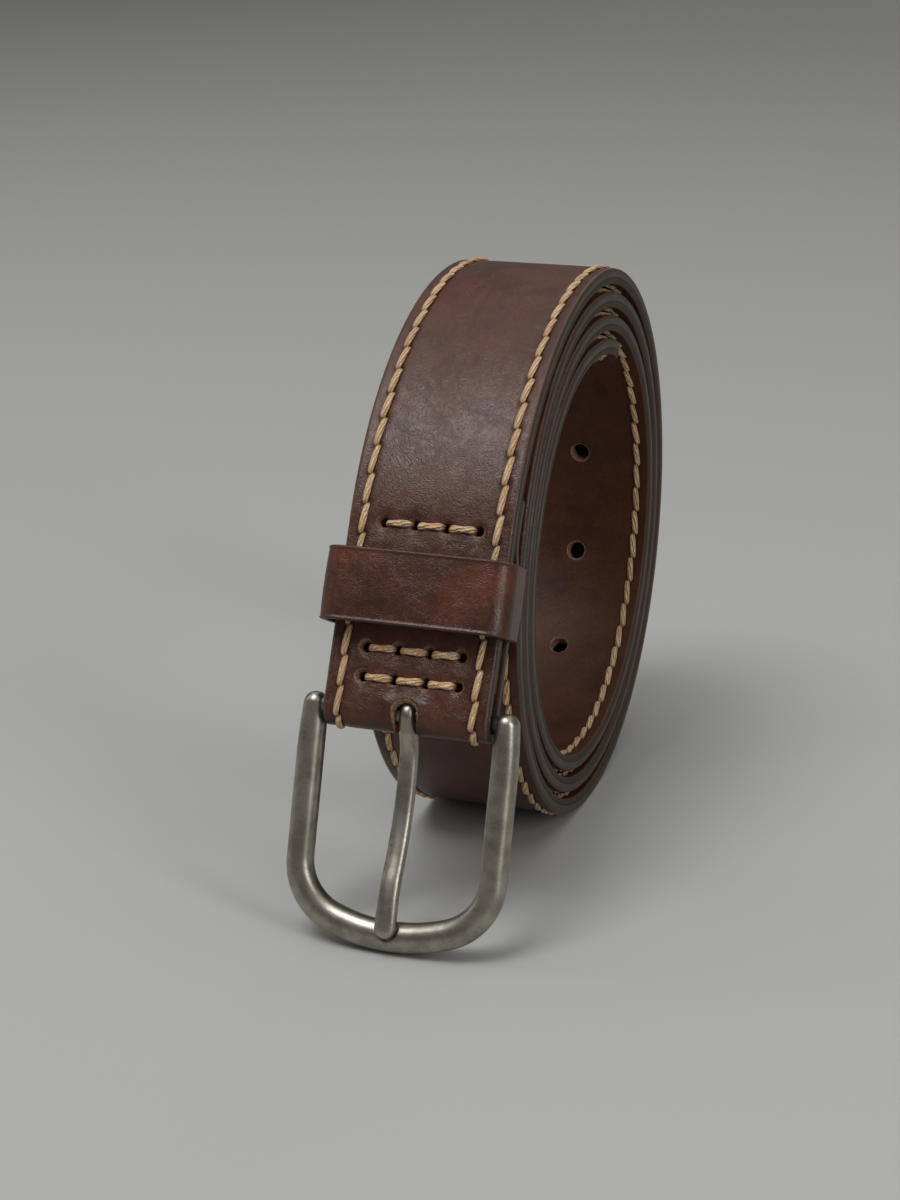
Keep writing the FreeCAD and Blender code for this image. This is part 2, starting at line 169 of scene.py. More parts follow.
def dress(obj, body, nodes, material):
    """Rides a piece on its body in the place of its CAD nodes, and gives it a material if one is named."""
    if material:
        obj.data.materials.clear()
        obj.data.materials.append(material)
    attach(obj, body)
    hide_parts(*nodes)
    print(f"{obj.name}: {len(obj.data.polygons)} faces")
    return obj


# %% [markdown]
# ## Routes
#
# Leather bends in long round curves, so the strap's line is straight runs and round turns, end to end. A
# piece of a route is a length and a bend, which is one over the radius, positive to the right. Walking a
# route is one formula for all its points at once, because the heading falls by the bend for each millimetre
# walked.

# %% Walk a route of runs and turns
def step(distance, bend, heading):
    """How far a walk goes: the integral of (cos, sin) of a heading that falls by bend for each mm walked."""
    straight = np.abs(bend) < 1e-9
    safe = np.where(straight, 1.0, bend)
    last = heading - bend * distance
    across = np.where(straight, distance * np.cos(heading), (np.sin(heading) - np.sin(last)) / safe)
    up = np.where(straight, distance * np.sin(heading), (np.cos(last) - np.cos(heading)) / safe)
    return np.stack([across, up], -1)


def make_route(heading_degrees, pieces):
    """The start of each (length, bend) piece: how far along it lies, its point and its heading."""
    lengths, bends = np.array(pieces, float).T
    headings = math.radians(heading_degrees) - np.concatenate([[0], np.cumsum(lengths * bends)])
    steps = step(lengths, bends, headings[:-1])
    return {
        "starts": np.concatenate([[0], np.cumsum(lengths)]),
        "bends": bends,
        "headings": headings,
        "points": np.vstack([[0, 0], np.cumsum(steps, axis=0)]),
    }


def walk(route, distance, depth):
    """Points at distances along a route, moved to its right: point + depth * (sin, -cos) of the heading."""
    distance, depth = np.broadcast_arrays(distance, depth)
    piece = np.clip(np.searchsorted(route["starts"], distance, side="right") - 1, 0, len(route["bends"]) - 1)
    beyond = distance - route["starts"][piece]
    start = route["headings"][piece]
    heading = start - route["bends"][piece] * beyond
    points = route["points"][piece] + step(beyond, route["bends"][piece], start)
    return points + depth[..., None] * np.stack([np.sin(heading), -np.cos(heading)], -1)


# %% [markdown]
# ## The strap's route
#
# The outer leather starts as a tab behind the buckle end, folds round the bar, and comes back up as the front
# of the strap. It passes under the keeper, curves over to the top of the roll, and makes three turns inwards
# to its tip. Each quarter turn is a little tighter than the one before. Short flat runs at the top and bottom
# let the turns bunch together at the front and leave air between them at the back, as a springy strap does.

# %% The belt's own measures
face_thick, lining_thick = 2.0, 1.5
strap_thick = face_thick + lining_thick
bar_radius = 1.8
fold_gap = 0.25
fold_outer = bar_radius + fold_gap + face_thick
tab_bend = (30.5, 37.2)
tab_tail = 8.0
tab_gap = 0.1
lining_start = 6.0
front_run = 37.2
front_radius = 72.0
quarter_drop = 1.3
foot_cut = 0.15
first_run, run_growth = 1.5, 0.85
turns = 3
tip_angle = 38.0
tip_length = 16.0


def strap_pieces():
    """The strap's runs and turns from the tab's end to the tip, measured on the grain side."""
    rise = tab_bend[1] - tab_bend[0]
    shift = 2 * (fold_outer - face_thick) - lining_thick - tab_gap
    turn = 2 * math.atan(shift / rise)
    bend_radius = rise / (2 * math.sin(turn))
    tail_radius = front_radius - strap_thick - tab_gap - face_thick
    pieces = [(tab_tail, -1 / tail_radius)]
    pieces += [(bend_radius * turn, -1 / bend_radius), (bend_radius * turn, 1 / bend_radius)]
    pieces += [(tab_bend[0], 0), (math.pi * fold_outer, 1 / fold_outer), (front_run, 0)]
    pieces += [(front_radius * math.radians(90 - strap_lean), 1 / front_radius)]
    radius = (roll_height + foot_cut + quarter_drop) / 2
    for quarter in range(4 * turns):
        pieces.append((radius * math.pi / 2, 1 / radius))
        radius -= quarter_drop
        if quarter % 2:
            pieces.append((first_run + quarter // 4 * run_growth, 0))
    pieces.append((radius * math.radians(tip_angle), 1 / radius))
    return pieces, -90 - strap_lean - math.degrees(tab_tail / tail_radius)


strap = make_route(*strap_pieces()[::-1])
fold_start = strap["starts"][4]
fold_end = strap["starts"][5]
bar_now = walk(strap, fold_start, fold_outer)
strap["points"] += np.array([bar_y, bar_z]) - bar_now
strap_end = strap["starts"][-1]
top_start = strap["starts"][7]
lining_from = fold_end + lining_start
tip_from = strap_end - tip_length
print(f"fold from {fold_start:.1f} to {fold_end:.1f}, "
      f"first top at {top_start:.1f}, tip at {strap_end:.1f} mm")

# %% [markdown]
# ## A strap's section
#
# A cut strap isn't a box. The grain side rounds over at the edges where the maker bevels and burnishes them,
# and the layers meet in a faint line. The section goes once round: the outer side, an edge, the inner side
# and the other edge. Its columns are closer together near the edges and the stitch lines, where the relief
# is.

# %% Sections and rows
def band_section(half, outer, inner, outer_round, inner_round, columns):
    """Points (across, depth) once round a band, with quarter circles of two radii for its four corners."""
    def corner(side, depth, radius, start):
        turn = np.radians(np.linspace(start, start - 90, 6))
        return np.stack([side * (half - radius) + radius * np.cos(turn), depth - radius * np.sin(turn)], -1)

    inside = columns[np.abs(columns) < half - max(outer_round, inner_round) - 0.1]
    sparse = np.linspace(half - inner_round - 0.6, -(half - inner_round - 0.6), 12)
    top = np.stack([inside, np.full(len(inside), outer)], -1)
    bottom = np.stack([sparse, np.full(len(sparse), inner)], -1)
    right = [corner(1, outer + outer_round, outer_round, 90), corner(1, inner - inner_round, inner_round, 0)]
    left = [
        corner(-1, inner - inner_round, inner_round, -90),
        corner(-1, outer + outer_round, outer_round, -180),
    ]
    return np.concatenate([top, *right, bottom, *left])


def spaced(*stretches):
    """Distances along a route, from a first start through stretches of (end, spacing)."""
    start = stretches[0]
    out = [np.array([start])]
    for end, spacing in stretches[1:]:
        count = max(2, math.ceil((end - start) / spacing))
        out.append(np.linspace(start, end, count + 1)[1:])
        start = end
    return np.concatenate(out)


edge_columns = np.linspace(0, 6.4, 17) + 10.2
middle_columns = np.linspace(-9.9, 9.9, 29)
strap_columns = np.concatenate([-edge_columns[::-1], middle_columns, edge_columns])

# %% [markdown]
# ## Where the stitching goes
#
# Two rows of saddle stitching run all the way, 3.2 mm in from each edge, and meet round the tip. Three short
# rows across the buckle end sew the tab down: two below the keeper and one above it. Each has four pierced
# holes. Every hole pulls the leather in, so the stitches are laid out before the leather is shaped.

# %% Stitch layout
stitch_inset = 3.2
stitch_pitch = 6.25
stitch_line = strap_half - stitch_inset
cross_rows = {"lower": 6.3, "middle": 12.3, "upper": 37.8}
row_pitch = 6.7
row_x = (np.arange(4) - 1.5) * row_pitch
slot_half, slot_top = 2.5, 2.0
first_hole_angle, prong_hole_pitch, prong_hole_count = 6.3, 27.0, 7


def stitch_route(side, row_from):
    """A row's line as (distance along, across): straight up, then a quarter ellipse round the tip."""
    turn = np.linspace(0, math.pi / 2, 40)
    reach = tip_length - stitch_inset
    along = np.concatenate([np.linspace(row_from, tip_from, 400), tip_from + reach * np.sin(turn[1:])])
    across = np.concatenate([np.full(400, stitch_line), stitch_line * np.cos(turn[1:])])
    return along, side * across


def stitch_ends(side, row_from):
    """The holes of a row, one pitch apart along its line."""
    along, across = stitch_route(side, row_from)
    walked = np.concatenate([[0], np.cumsum(np.hypot(np.diff(along), np.diff(across)))])
    marks = np.arange(0, walked[-1], stitch_pitch)
    return np.interp(marks, walked, along), np.interp(marks, walked, across)


hole_phase = (fold_end - 2.4) % stitch_pitch
print(len(stitch_ends(1, hole_phase)[0]), "stitch holes in each row")


def row_distance(height):
    """How far along the route a row lies on the front of the strap, at a height above the bar."""
    return fold_end + height


# %% [markdown]
# ## The leather's relief
#
# The grain side isn't flat. The thread pulls a shallow furrow with a dimple at every hole, the pierced holes
# of the cross rows pucker the leather under them, the slot's rim lifts over the prong's ring, and a strap
# that has been rolled shows long soft creases. All of it is one height over (distance along, across), a sum
# of smooth bumps.

# %% Relief of the grain side
furrow_deep, dimple_deep = 0.22, 0.42
hole_dent, lower_dent, swell, row_dent = 0.50, 0.16, 0.05, 0.10
slot_lift = 0.45
crease_width = 0.55
fold_dents = [(3.9, -2.4, 0.30), (3.5, 2.9, 0.26), (2.6, 6.3, 0.12)]     # above the fold, across, deep


def bump(along, across, at, size):
    """A smooth bump: e to the minus squared distance over squared size, along and across."""
    return np.exp(-((along - at[0]) / size[0]) ** 2 - ((across - at[1]) / size[1]) ** 2)


def furrow(along, across, phase):
    """The stitch line's furrow, and a dimple in it at every hole."""
    off_line = np.abs(across) - stitch_line
    off_hole = (along - phase + stitch_pitch / 2) % stitch_pitch - stitch_pitch / 2
    dimple = np.exp(-(off_hole / 0.9) ** 2 - (off_line / 0.8) ** 2)
    return -furrow_deep * np.exp(-(off_line / 1.1) ** 2) - dimple_deep * dimple


waves = np.random.default_rng(7)
wave_turns = waves.uniform(0, 2 * math.pi, (14, 2))
wave_lengths = waves.uniform(9.0, 34.0, 14)


def unevenness(along, across):
    """Hand-made leather is never even: a sum of fourteen gentle waves in different directions."""
    height = np.zeros(np.broadcast(along, across).shape)
    for (direction, start), length in zip(wave_turns, wave_lengths):
        way = along * math.cos(direction) + across * math.sin(direction)
        height += np.sin(2 * math.pi * way / length + start) * length / 34.0
    return height * 0.022


# each crease: middle above the fold, across, reach, depth, slant
creases = [(94.0, -3.0, 15.0, 0.16, -0.05), (102.0, -5.6, 9.0, 0.10, 0.10), (86.0, 2.4, 10.0, 0.08, 0.16)]


def crease(along, across):
    """Long soft furrows up the strap: narrow across their own slanting line, and fading at both ends."""
    height = np.zeros(np.broadcast(along, across).shape)
    for middle, x, reach, deep, slant in creases:
        off = across - x - slant * (along - fold_end - middle) - 0.5 * np.sin((along - middle) / 5.0)
        height -= deep * np.exp(-(off / crease_width) ** 2 - ((along - fold_end - middle) / reach) ** 2)
    return height


def pucker(along, across):
    """The cross rows: a tight dimple at every pierced hole and a wider dent just below it."""
    height = np.zeros(np.broadcast(along, across).shape)
    for row in cross_rows.values():
        at = row_distance(row)
        for x in row_x:
            uneven = 1 + 0.5 * math.sin(5 * x + row)
            height -= hole_dent * bump(along, across, (at, x), (1.4, 1.5))
            height -= lower_dent * uneven * bump(along, across, (at - 2.2, x + 0.3), (1.5, 1.6))
            height += swell * bump(along, across, (at - 4.3, x + 0.6), (1.6, 2.4))
        height -= row_dent * np.exp(-((along - at) / 1.6) ** 2) * (np.abs(across) < 11)
    for lift, x, deep in fold_dents:
        height -= deep * bump(along, across, (fold_end + lift, x), (1.3, 1.7))
    height += slot_lift * bump(along, across, (fold_end + slot_top, 0), (2.2, 4.6))
    return height


def grain_relief(along, across):
    """How far the grain side stands out, in mm."""
    quiet = np.clip((strap_end - along) / 60, 0, 1)
    front = unevenness(along, across) + crease(along, across) + pucker(along, across)
    return furrow(along, across, hole_phase) + quiet * front


def lining_relief(along, across):
    """The lining side only has the stitch furrow and a little unevenness."""
    return 0.7 * furrow(along, across, hole_phase) + 0.6 * unevenness(along + 300, across)


# %% [markdown]
# ## The two leather layers
#
# Each layer is its section carried along the strap's route. Towards the tip the section narrows as half an
# ellipse, with the rows closing up so that the point stays round. The relief is only added on the side that
# shows.

# %% Sweep the layers
def tip_rows():
    """Distances and width shares over the tip: sine and cosine of one angle, which is an ellipse."""
    turn = np.radians(np.linspace(0, 89.0, 26)[1:])
    return tip_from + tip_length * np.sin(turn), np.cos(turn)


def strap_layer(name, section, shown, relief, distances):
    """The section carried along the route: depth is the section's own, less the relief on its shown side."""
    tip_at, tip_share = tip_rows()
    distances = np.concatenate([distances, tip_at])
    share = np.concatenate([np.ones(len(distances) - len(tip_at)), tip_share])[:, None]
    across = section[None, :, 0] * share
    fade = np.clip((strap_half - np.abs(section[None, :, 0])) / 1.2, 0, 1)
    height = relief(distances[:, None], across) * shown[None, :] * fade
    points = walk(strap, distances[:, None], section[None, :, 1] - height)
    around = np.append(section[:, 0], section[0, 0])
    uv = np.stack(np.broadcast_arrays(around[None, :], distances[:, None]), -1) / PER_METRE
    return make_mesh(name, [(np.concatenate([across[..., None], points], -1), uv[None])])


face_section = band_section(strap_half, 0, face_thick, 0.75, 0.18, strap_columns)
face_shown = (face_section[:, 1] < 1e-6).astype(float)
seen_face, seen_lining = 380, 640            # past the first top, the lengths whose relief shows
face_rows = spaced(
    0, (fold_start, 1.2), (fold_end, 0.4), (top_start, 0.6), (top_start + seen_face, 1.15), (tip_from, 2.4)
)
strap_face = strap_layer("strap_grain_leather", face_section, face_shown, grain_relief, face_rows)

lining_section = band_section(strap_half, -strap_thick, -face_thick, 0.7, 0.18, strap_columns)
lining_section[:, 1] *= -1
lining_shown = -(lining_section[:, 1] > strap_thick - 1e-6).astype(float)
lining_rows = spaced(lining_from, (top_start + seen_lining, 2.2), (tip_from, 1.0))
strap_lining = strap_layer("strap_lining_leather", lining_section, lining_shown, lining_relief, lining_rows)
print(len(strap_face.data.polygons), len(strap_lining.data.polygons), "faces before the holes are cut")

# %% [markdown]
# ## Node helpers
#
# Every finish is built from nodes. These helpers add a node and wire it in one call, so that a material reads
# as a recipe. An effect that several finishes share is a node group with named sockets.

# %% Build nodes
def feed(tree, node, inputs):
    """Links or sets each named input of a node."""
    for key, value in inputs.items():
        if isinstance(value, bpy.types.NodeSocket):
            tree.links.new(value, node.inputs[key])
        else:
            node.inputs[key].default_value = value


def add(tree, kind, inputs=None, **settings):
    """A shader node with its settings, and each input either linked or set."""
    made = tree.nodes.new("ShaderNode" + kind)
    for name, value in settings.items():
        setattr(made, name, value)
    feed(tree, made, inputs or {})
    return made


def calc(tree, operation, *values):
    """The result of one Math node."""
    return add(tree, "Math", dict(enumerate(values)), operation=operation).outputs[0]


def ramp(tree, value, low, high, to_low=0.0, to_high=1.0):
    """A smooth step of a value from one range to another."""
    inputs = {"Value": value, "From Min": low, "From Max": high, "To Min": to_low, "To Max": to_high}
    return add(tree, "MapRange", inputs, interpolation_type="SMOOTHSTEP").outputs[0]


def mixed(tree, factor, first, second):
    """Two colours mixed by a factor."""
    return add(tree, "Mix", {0: factor, 6: first, 7: second}, data_type="RGBA").outputs[2]


def scaled(tree, vector, scale):
    """A vector times a number."""
    return add(tree, "VectorMath", {0: vector, "Scale": scale}, operation="SCALE").outputs[0]


def bumped(tree, height, distance, strength=1.0):
    """The normal of a surface raised by a height."""
    return add(tree, "Bump", {"Height": height, "Distance": distance, "Strength": strength}).outputs[0]


def noise(tree, vector, scale, detail=3.0, rough=0.5, stretch=None, turn=0.0):
    """Noise over a vector in mm, which may be stretched and turned about its third axis first."""
    if stretch:
        stretched = {"Vector": vector, "Rotation": (0, 0, turn), "Scale": stretch}
        vector = add(tree, "Mapping", stretched).outputs[0]
    inputs = {"Vector": vector, "Scale": scale, "Detail": detail, "Roughness": rough}
    return add(tree, "TexNoise", inputs).outputs[0]


def group(name, inputs, outputs):
    """An empty node group with named sockets: its tree, its input node and its output node."""
    tree = bpy.data.node_groups.new(name, "ShaderNodeTree")
    for label, (kind, value) in inputs.items():
        socket = tree.interface.new_socket(label, in_out="INPUT", socket_type="NodeSocket" + kind)
        if value is not None:
            socket.default_value = value
    for label, kind in outputs.items():
        tree.interface.new_socket(label, in_out="OUTPUT", socket_type="NodeSocket" + kind)
    return tree, tree.nodes.new("NodeGroupInput"), tree.nodes.new("NodeGroupOutput")


def place(tree, made_group, inputs):
    """A group in a material, with its own values."""
    return add(tree, "Group", inputs, node_tree=made_group).outputs


def material(name):
    """A new material, its node tree and its Principled BSDF."""
    made = bpy.data.materials.new(name)
    made.use_nodes = True
    return made, made.node_tree, made.node_tree.nodes["Principled BSDF"]


def surface_mm(tree):
    """The piece's own UVs, in mm."""
    return scaled(tree, add(tree, "UVMap", uv_map="surface").outputs[0], PER_METRE)


def object_mm(tree):
    """Object coordinates, in mm."""
    return scaled(tree, add(tree, "TexCoord").outputs["Object"], PER_METRE)


def colour(red, green, blue):
    """A colour as linear shares of red, green and blue."""
    return (red, green, blue, 1.0)


# %% [markdown]
# ## Leather grain as a group
#
# Waxed cowhide has three scales of texture: fine pores, short wrinkles that run together in slanting waves,
# and a slow mottle where the dye took more or less. The group gives one height for bump, and masks for
# colour; its Valley mask paints shade into the wrinkle valleys and the pores. The wrinkles are a noise that
# is stretched along a slant and bent by a slower noise, then folded about its middle value so that it makes
# narrow valleys.

# %% Group: leather grain
VECTOR = ("Vector", None)
grain, g_in, g_out = group(
    "leather_grain",
    {"Place": VECTOR, "Wrinkle": ("Float", 1.0), "Pore": ("Float", 1.0), "Slant": ("Float", 0.6)},
    {"Height": "Float", "Mottle": "Float", "Valley": "Float"},
)
where, wrinkle = g_in.outputs["Place"], g_in.outputs["Wrinkle"]
slow = add(grain, "TexNoise", {"Vector": where, "Scale": 0.16, "Detail": 2.0}).outputs[1]
pushed = add(grain, "VectorMath", {0: slow, 1: (0.5, 0.5, 0.5)}, operation="SUBTRACT").outputs[0]
bent = add(grain, "VectorMath", {0: where, 1: scaled(grain, pushed, 9.0)}, operation="ADD").outputs[0]
spin = {"Vector": bent, "Angle": g_in.outputs["Slant"]}
turned = add(grain, "VectorRotate", spin, rotation_type="Z_AXIS").outputs[0]
coarse = noise(grain, turned, 0.85, 3.0, 0.55, (0.42, 1.25, 1.0))
fine = noise(grain, turned, 2.1, 2.0, 0.5, (0.5, 1.1, 1.0))
valley = ramp(grain, calc(grain, "ABSOLUTE", calc(grain, "SUBTRACT", coarse, 0.5)), 0.0, 0.11)
fine_valley = ramp(grain, calc(grain, "ABSOLUTE", calc(grain, "SUBTRACT", fine, 0.5)), 0.0, 0.13)
cells = add(grain, "TexVoronoi", {"Vector": bent, "Scale": 2.3}, feature="SMOOTH_F1").outputs["Distance"]
pores = ramp(grain, cells, 0.05, 0.55)
height = calc(grain, "MULTIPLY", valley, calc(grain, "MULTIPLY", wrinkle, 0.55))
height = calc(grain, "MULTIPLY_ADD", fine_valley, calc(grain, "MULTIPLY", wrinkle, 0.50), height)
height = calc(grain, "MULTIPLY_ADD", pores, calc(grain, "MULTIPLY", g_in.outputs["Pore"], 0.65), height)
low_pore = calc(grain, "MULTIPLY_ADD", pores, -0.8, 0.8)
feed(grain, g_out, {
    "Height": height,
    "Mottle": ramp(grain, noise(grain, where, 0.10, 5.0, 0.62), 0.28, 0.72),
    # Valley: painted shade in the wrinkle valleys and the pores
    "Valley": calc(grain, "MAXIMUM", calc(grain, "SUBTRACT", 1.0, valley), low_pore),
})

# %% [markdown]
# ## Stitching marks and edges as groups
#
# The same strap coordinates say where the holes are, because they lie one pitch apart on a line a fixed way
# in. The leather is painted darker there and in the stitch furrow, as painted shade. A second group finds the
# burnished edge, and a thin pale line along the bevel's corner, which is a painted highlight.

# %% Groups: stitch marks and burnished edge
# masks that place painted shade round each stitch hole and along the stitch furrow
marks, g_in, g_out = group(
    "stitch_painted_shade",
    {"Place": VECTOR, "Line": ("Float", 14.3), "Pitch": ("Float", 6.25), "Phase": ("Float", 0.0)},
    {"Hole": "Float", "Furrow": "Float"},
)
xyz = add(marks, "SeparateXYZ", {0: g_in.outputs["Place"]}).outputs
off_line = calc(marks, "SUBTRACT", calc(marks, "ABSOLUTE", xyz[0]), g_in.outputs["Line"])
along_row = calc(marks, "SUBTRACT", xyz[1], g_in.outputs["Phase"])
off_hole = calc(marks, "PINGPONG", along_row, calc(marks, "MULTIPLY", g_in.outputs["Pitch"], 0.5))
squares = calc(marks, "ADD", calc(marks, "POWER", off_line, 2.0), calc(marks, "POWER", off_hole, 2.0))
feed(marks, g_out, {
    "Hole": ramp(marks, calc(marks, "SQRT", squares), 0.5, 1.7, 1.0, 0.0),
    "Furrow": ramp(marks, calc(marks, "ABSOLUTE", off_line), 0.5, 1.9, 1.0, 0.0),
})

edges, g_in, g_out = group(
    "burnished_edge", {"Place": VECTOR, "Half": ("Float", 17.5)}, {"Edge": "Float", "Rim": "Float"}
)
across = calc(edges, "ABSOLUTE", add(edges, "SeparateXYZ", {0: g_in.outputs["Place"]}).outputs[0])
inward = calc(edges, "SUBTRACT", g_in.outputs["Half"], across)
wander = noise(edges, g_in.outputs["Place"], 0.45, 3.0, 0.6)
inward = calc(edges, "SUBTRACT", inward, calc(edges, "MULTIPLY_ADD", wander, 0.3, -0.15))
rim_in, rim_out = ramp(edges, inward, 0.15, 0.32), ramp(edges, inward, 0.42, 0.75, 1.0, 0.0)
feed(edges, g_out, {
    "Edge": ramp(edges, inward, 0.12, 0.34, 1.0, 0.0),
    # Rim: a thin pale line on the bevel's rounded corner, used as a painted highlight
    "Rim": calc(edges, "MULTIPLY", rim_in, rim_out),
})

# %% [markdown]
# ## Strap leathers
#
# The three leathers differ in tone and in how rough they are, so one recipe makes them all from a few values:
# a dark and a light base that the mottle blends, a red that shows through the wax, a grey-brown burnished
# edge, and a a level of gloss for the wax. Values that are the same all over stay on the shader's own
# sockets.

# %% Leather recipe
def leather(name, dark, light, red, half, wrinkle, rough, gloss, stitched=True, slant=0.6, red_share=0.5,
            rim_highlight=0.22, valley_shade_share=0.35):
    """Waxed leather in strap coordinates, with its edges burnished half a width from the middle."""
    made, tree, shader = material(name)
    here = surface_mm(tree)
    skin = place(tree, grain, {"Place": here, "Wrinkle": wrinkle, "Pore": 0.8, "Slant": slant})
    finish = place(tree, edges, {"Place": here, "Half": half})
    patches = noise(tree, here, 0.045, 2.0, 0.5)
    base = mixed(tree, skin["Mottle"], dark, light)
    red_mask = calc(tree, "MULTIPLY", ramp(tree, patches, 0.46, 0.64), red_share)
    base = mixed(tree, red_mask, base, red)
    speckle = ramp(tree, noise(tree, here, 1.5, 4.0, 0.7), 0.40, 0.62)
    base = mixed(tree, calc(tree, "MULTIPLY", speckle, 0.30), base, dark)
    # painted shade: the grain's valleys and pores are darkened towards a deeper brown
    valley_shade = colour(*(0.45 * c for c in dark[:3]))
    base = mixed(tree, calc(tree, "MULTIPLY", skin["Valley"], valley_shade_share), base, valley_shade)
    if stitched:
        sewn = place(tree, marks, {
            "Place": here, "Line": stitch_line, "Pitch": stitch_pitch, "Phase": hole_phase,
        })
        # painted shade: the leather is darkened round each stitch hole and, less, along the furrow
        base = mixed(tree, calc(tree, "MULTIPLY", sewn["Hole"], 0.7), base, colour(0.026, 0.010, 0.005))
        base = mixed(tree, calc(tree, "MULTIPLY", sewn["Furrow"], 0.25), base, dark)
    streaks = noise(tree, object_mm(tree), 1.1, 4.0, 0.6)
    edge_colour = mixed(tree, streaks, colour(0.030, 0.019, 0.012), colour(0.062, 0.044, 0.031))
    # painted highlight: a pale grey line along the rounded corner of the bevel
    base = mixed(tree, calc(tree, "MULTIPLY", finish["Rim"], rim_highlight), base, colour(0.16, 0.13, 0.12))
    base = mixed(tree, finish["Edge"], base, edge_colour)
    dull = calc(tree, "MULTIPLY_ADD", skin["Mottle"], 0.08, rough)
    dull = calc(tree, "MULTIPLY_ADD", finish["Edge"], 0.12, dull)
    relief = calc(tree, "MULTIPLY", skin["Height"], calc(tree, "SUBTRACT", 1.0, finish["Edge"]))
    feed(tree, shader, {
        "Base Color": base, "Roughness": dull, "Specular IOR Level": gloss,
        "Normal": bumped(tree, relief, 0.00005, 0.8),
    })
    return made


grain_leather = leather(
    "waxed_grain_leather",
    dark=colour(0.049, 0.0155, 0.0075), light=colour(0.094, 0.0315, 0.0155), red=colour(0.108, 0.029, 0.012),
    half=strap_half, wrinkle=0.75, rough=0.31, gloss=0.40,
)
lining_leather = leather(
    "waxed_lining_leather",
    dark=colour(0.040, 0.013, 0.0065), light=colour(0.082, 0.028, 0.014), red=colour(0.104, 0.031, 0.013),
    half=strap_half, wrinkle=0.6, rough=0.46, gloss=0.22,
)

# %% Raw leather inside the holes
raw_leather, tree, shader = material("raw_leather")
fuzz = noise(tree, object_mm(tree), 2.6, 5.0, 0.7)
flesh = mixed(tree, ramp(tree, fuzz, 0.36, 0.66), colour(0.10, 0.042, 0.026), colour(0.34, 0.19, 0.125))
feed(tree, shader, {"Base Color": flesh, "Roughness": 0.92, "Normal": bumped(tree, fuzz, 0.0003)})

# %% [markdown]
# ## Holes
#
# The slot, the pierced holes and the prong holes are cut right through with a Boolean, so they are real
# openings with real walls. Each cutter widens at the surface, which leaves a raw bevel like the one that a
# punch leaves, and it hands its own raw-leather material to the walls that it cuts.

# %% Cutters
def leaned(points, lean):
    """Local points (across, behind, up the strap) turned back by a lean about the bar, in place."""
    turn = math.radians(lean)
    y = bar_y + points[..., 1] * math.cos(turn) + points[..., 2] * math.sin(turn)
    z = bar_z - points[..., 1] * math.sin(turn) + points[..., 2] * math.cos(turn)
    return np.stack([points[..., 0], y, z], -1)


def plug(start, way, rings, sides=28):
    """A round cutter: circles of (distance, radius) on a line from a start point in a direction."""
    way = np.array(way, float) / np.linalg.norm(way)
    first = np.cross(way, (0.0, 0.6, 0.8)) if abs(way[0]) > 0.5 else np.array([1.0, 0.0, 0.0])
    first /= np.linalg.norm(first)
    second = np.cross(way, first)
    turn = np.linspace(0, 2 * math.pi, sides, endpoint=False)
    circle = np.cos(turn)[:, None] * first + np.sin(turn)[:, None] * second
    rings = np.array(rings, float)
    return np.array(start, float) + rings[:, :1, None] * way + rings[:, 1:, None] * circle[None]


def row_plugs():
    """The pierced holes of the three rows, from in front of the strap to behind its tab."""
    behind = leaned(np.array([[0, 1.0, 0]]), strap_lean)[0] - leaned(np.zeros((1, 3)), strap_lean)[0]
    rings = [(0.0, 2.1), (0.9, 1.55), (1.9, 0.98), (12.0, 0.98)]
    local = [(x, -fold_outer - 0.6, height) for height in cross_rows.values() for x in row_x]
    return [(plug(leaned(np.array(p), strap_lean), behind, rings), None) for p in local]


pieces_before_turns, pieces_per_turn = 7, 6


def prong_plugs():
    """The prong holes: one pitch apart along the third turn, widened on both sides of the strap."""
    third = pieces_before_turns + 2 * pieces_per_turn
    bends = strap["bends"][third:]
    lengths = np.diff(strap["starts"][third:])
    margin = 0.5
    first = (1 / bends[0] - strap_thick / 2) * math.radians(90 - first_hole_angle)
    walked = np.concatenate([[0], np.cumsum(lengths * (1 + margin * bends))])
    at = np.interp(first + prong_hole_pitch * np.arange(prong_hole_count), walked, strap["starts"][third:])
    outer = walk(strap, at, np.full(at.shape, -margin))
    inner = walk(strap, at, np.full(at.shape, strap_thick + margin))
    deep = strap_thick + 2 * margin
    rings = [(0, 2.75), (margin + 0.3, 2.1), (deep - margin - 0.45, 2.05), (deep, 2.85)]
    return [(plug((0, *a), (0, *(b - a)), rings), None) for a, b in zip(outer, inner)]


def slot_cutter():
    """The prong's slot: a half circle over two straight sides, wide and ragged at the surfaces."""
    behind = np.array([-8.0, -4.5, -4.15, -3.7, -3.3, 3.3, 3.7, 4.15, 4.5, 8.0])
    flare = np.interp(np.abs(behind), [3.3, 3.7, 4.15, 4.5], [0.0, 0.16, 0.42, 0.9])[:, None]
    turn = np.linspace(0, math.pi, 40)[None, :]
    ragged = 0.07 * np.sin(17 * turn + 3 * behind[:, None]) + 0.05 * np.sin(31 * turn + 1.0)
    radius = slot_half + flare + ragged
    x, z = radius * np.cos(turn), slot_top - slot_half + radius * np.sin(turn)
    low = np.full((len(behind), 1), -8.0)
    x = np.concatenate([x, -slot_half - flare, slot_half + flare], 1)
    z = np.concatenate([z, low, low], 1)
    y = np.broadcast_to(behind[:, None], x.shape)
    return [(leaned(np.stack([x, y, z], -1), strap_lean), None)]


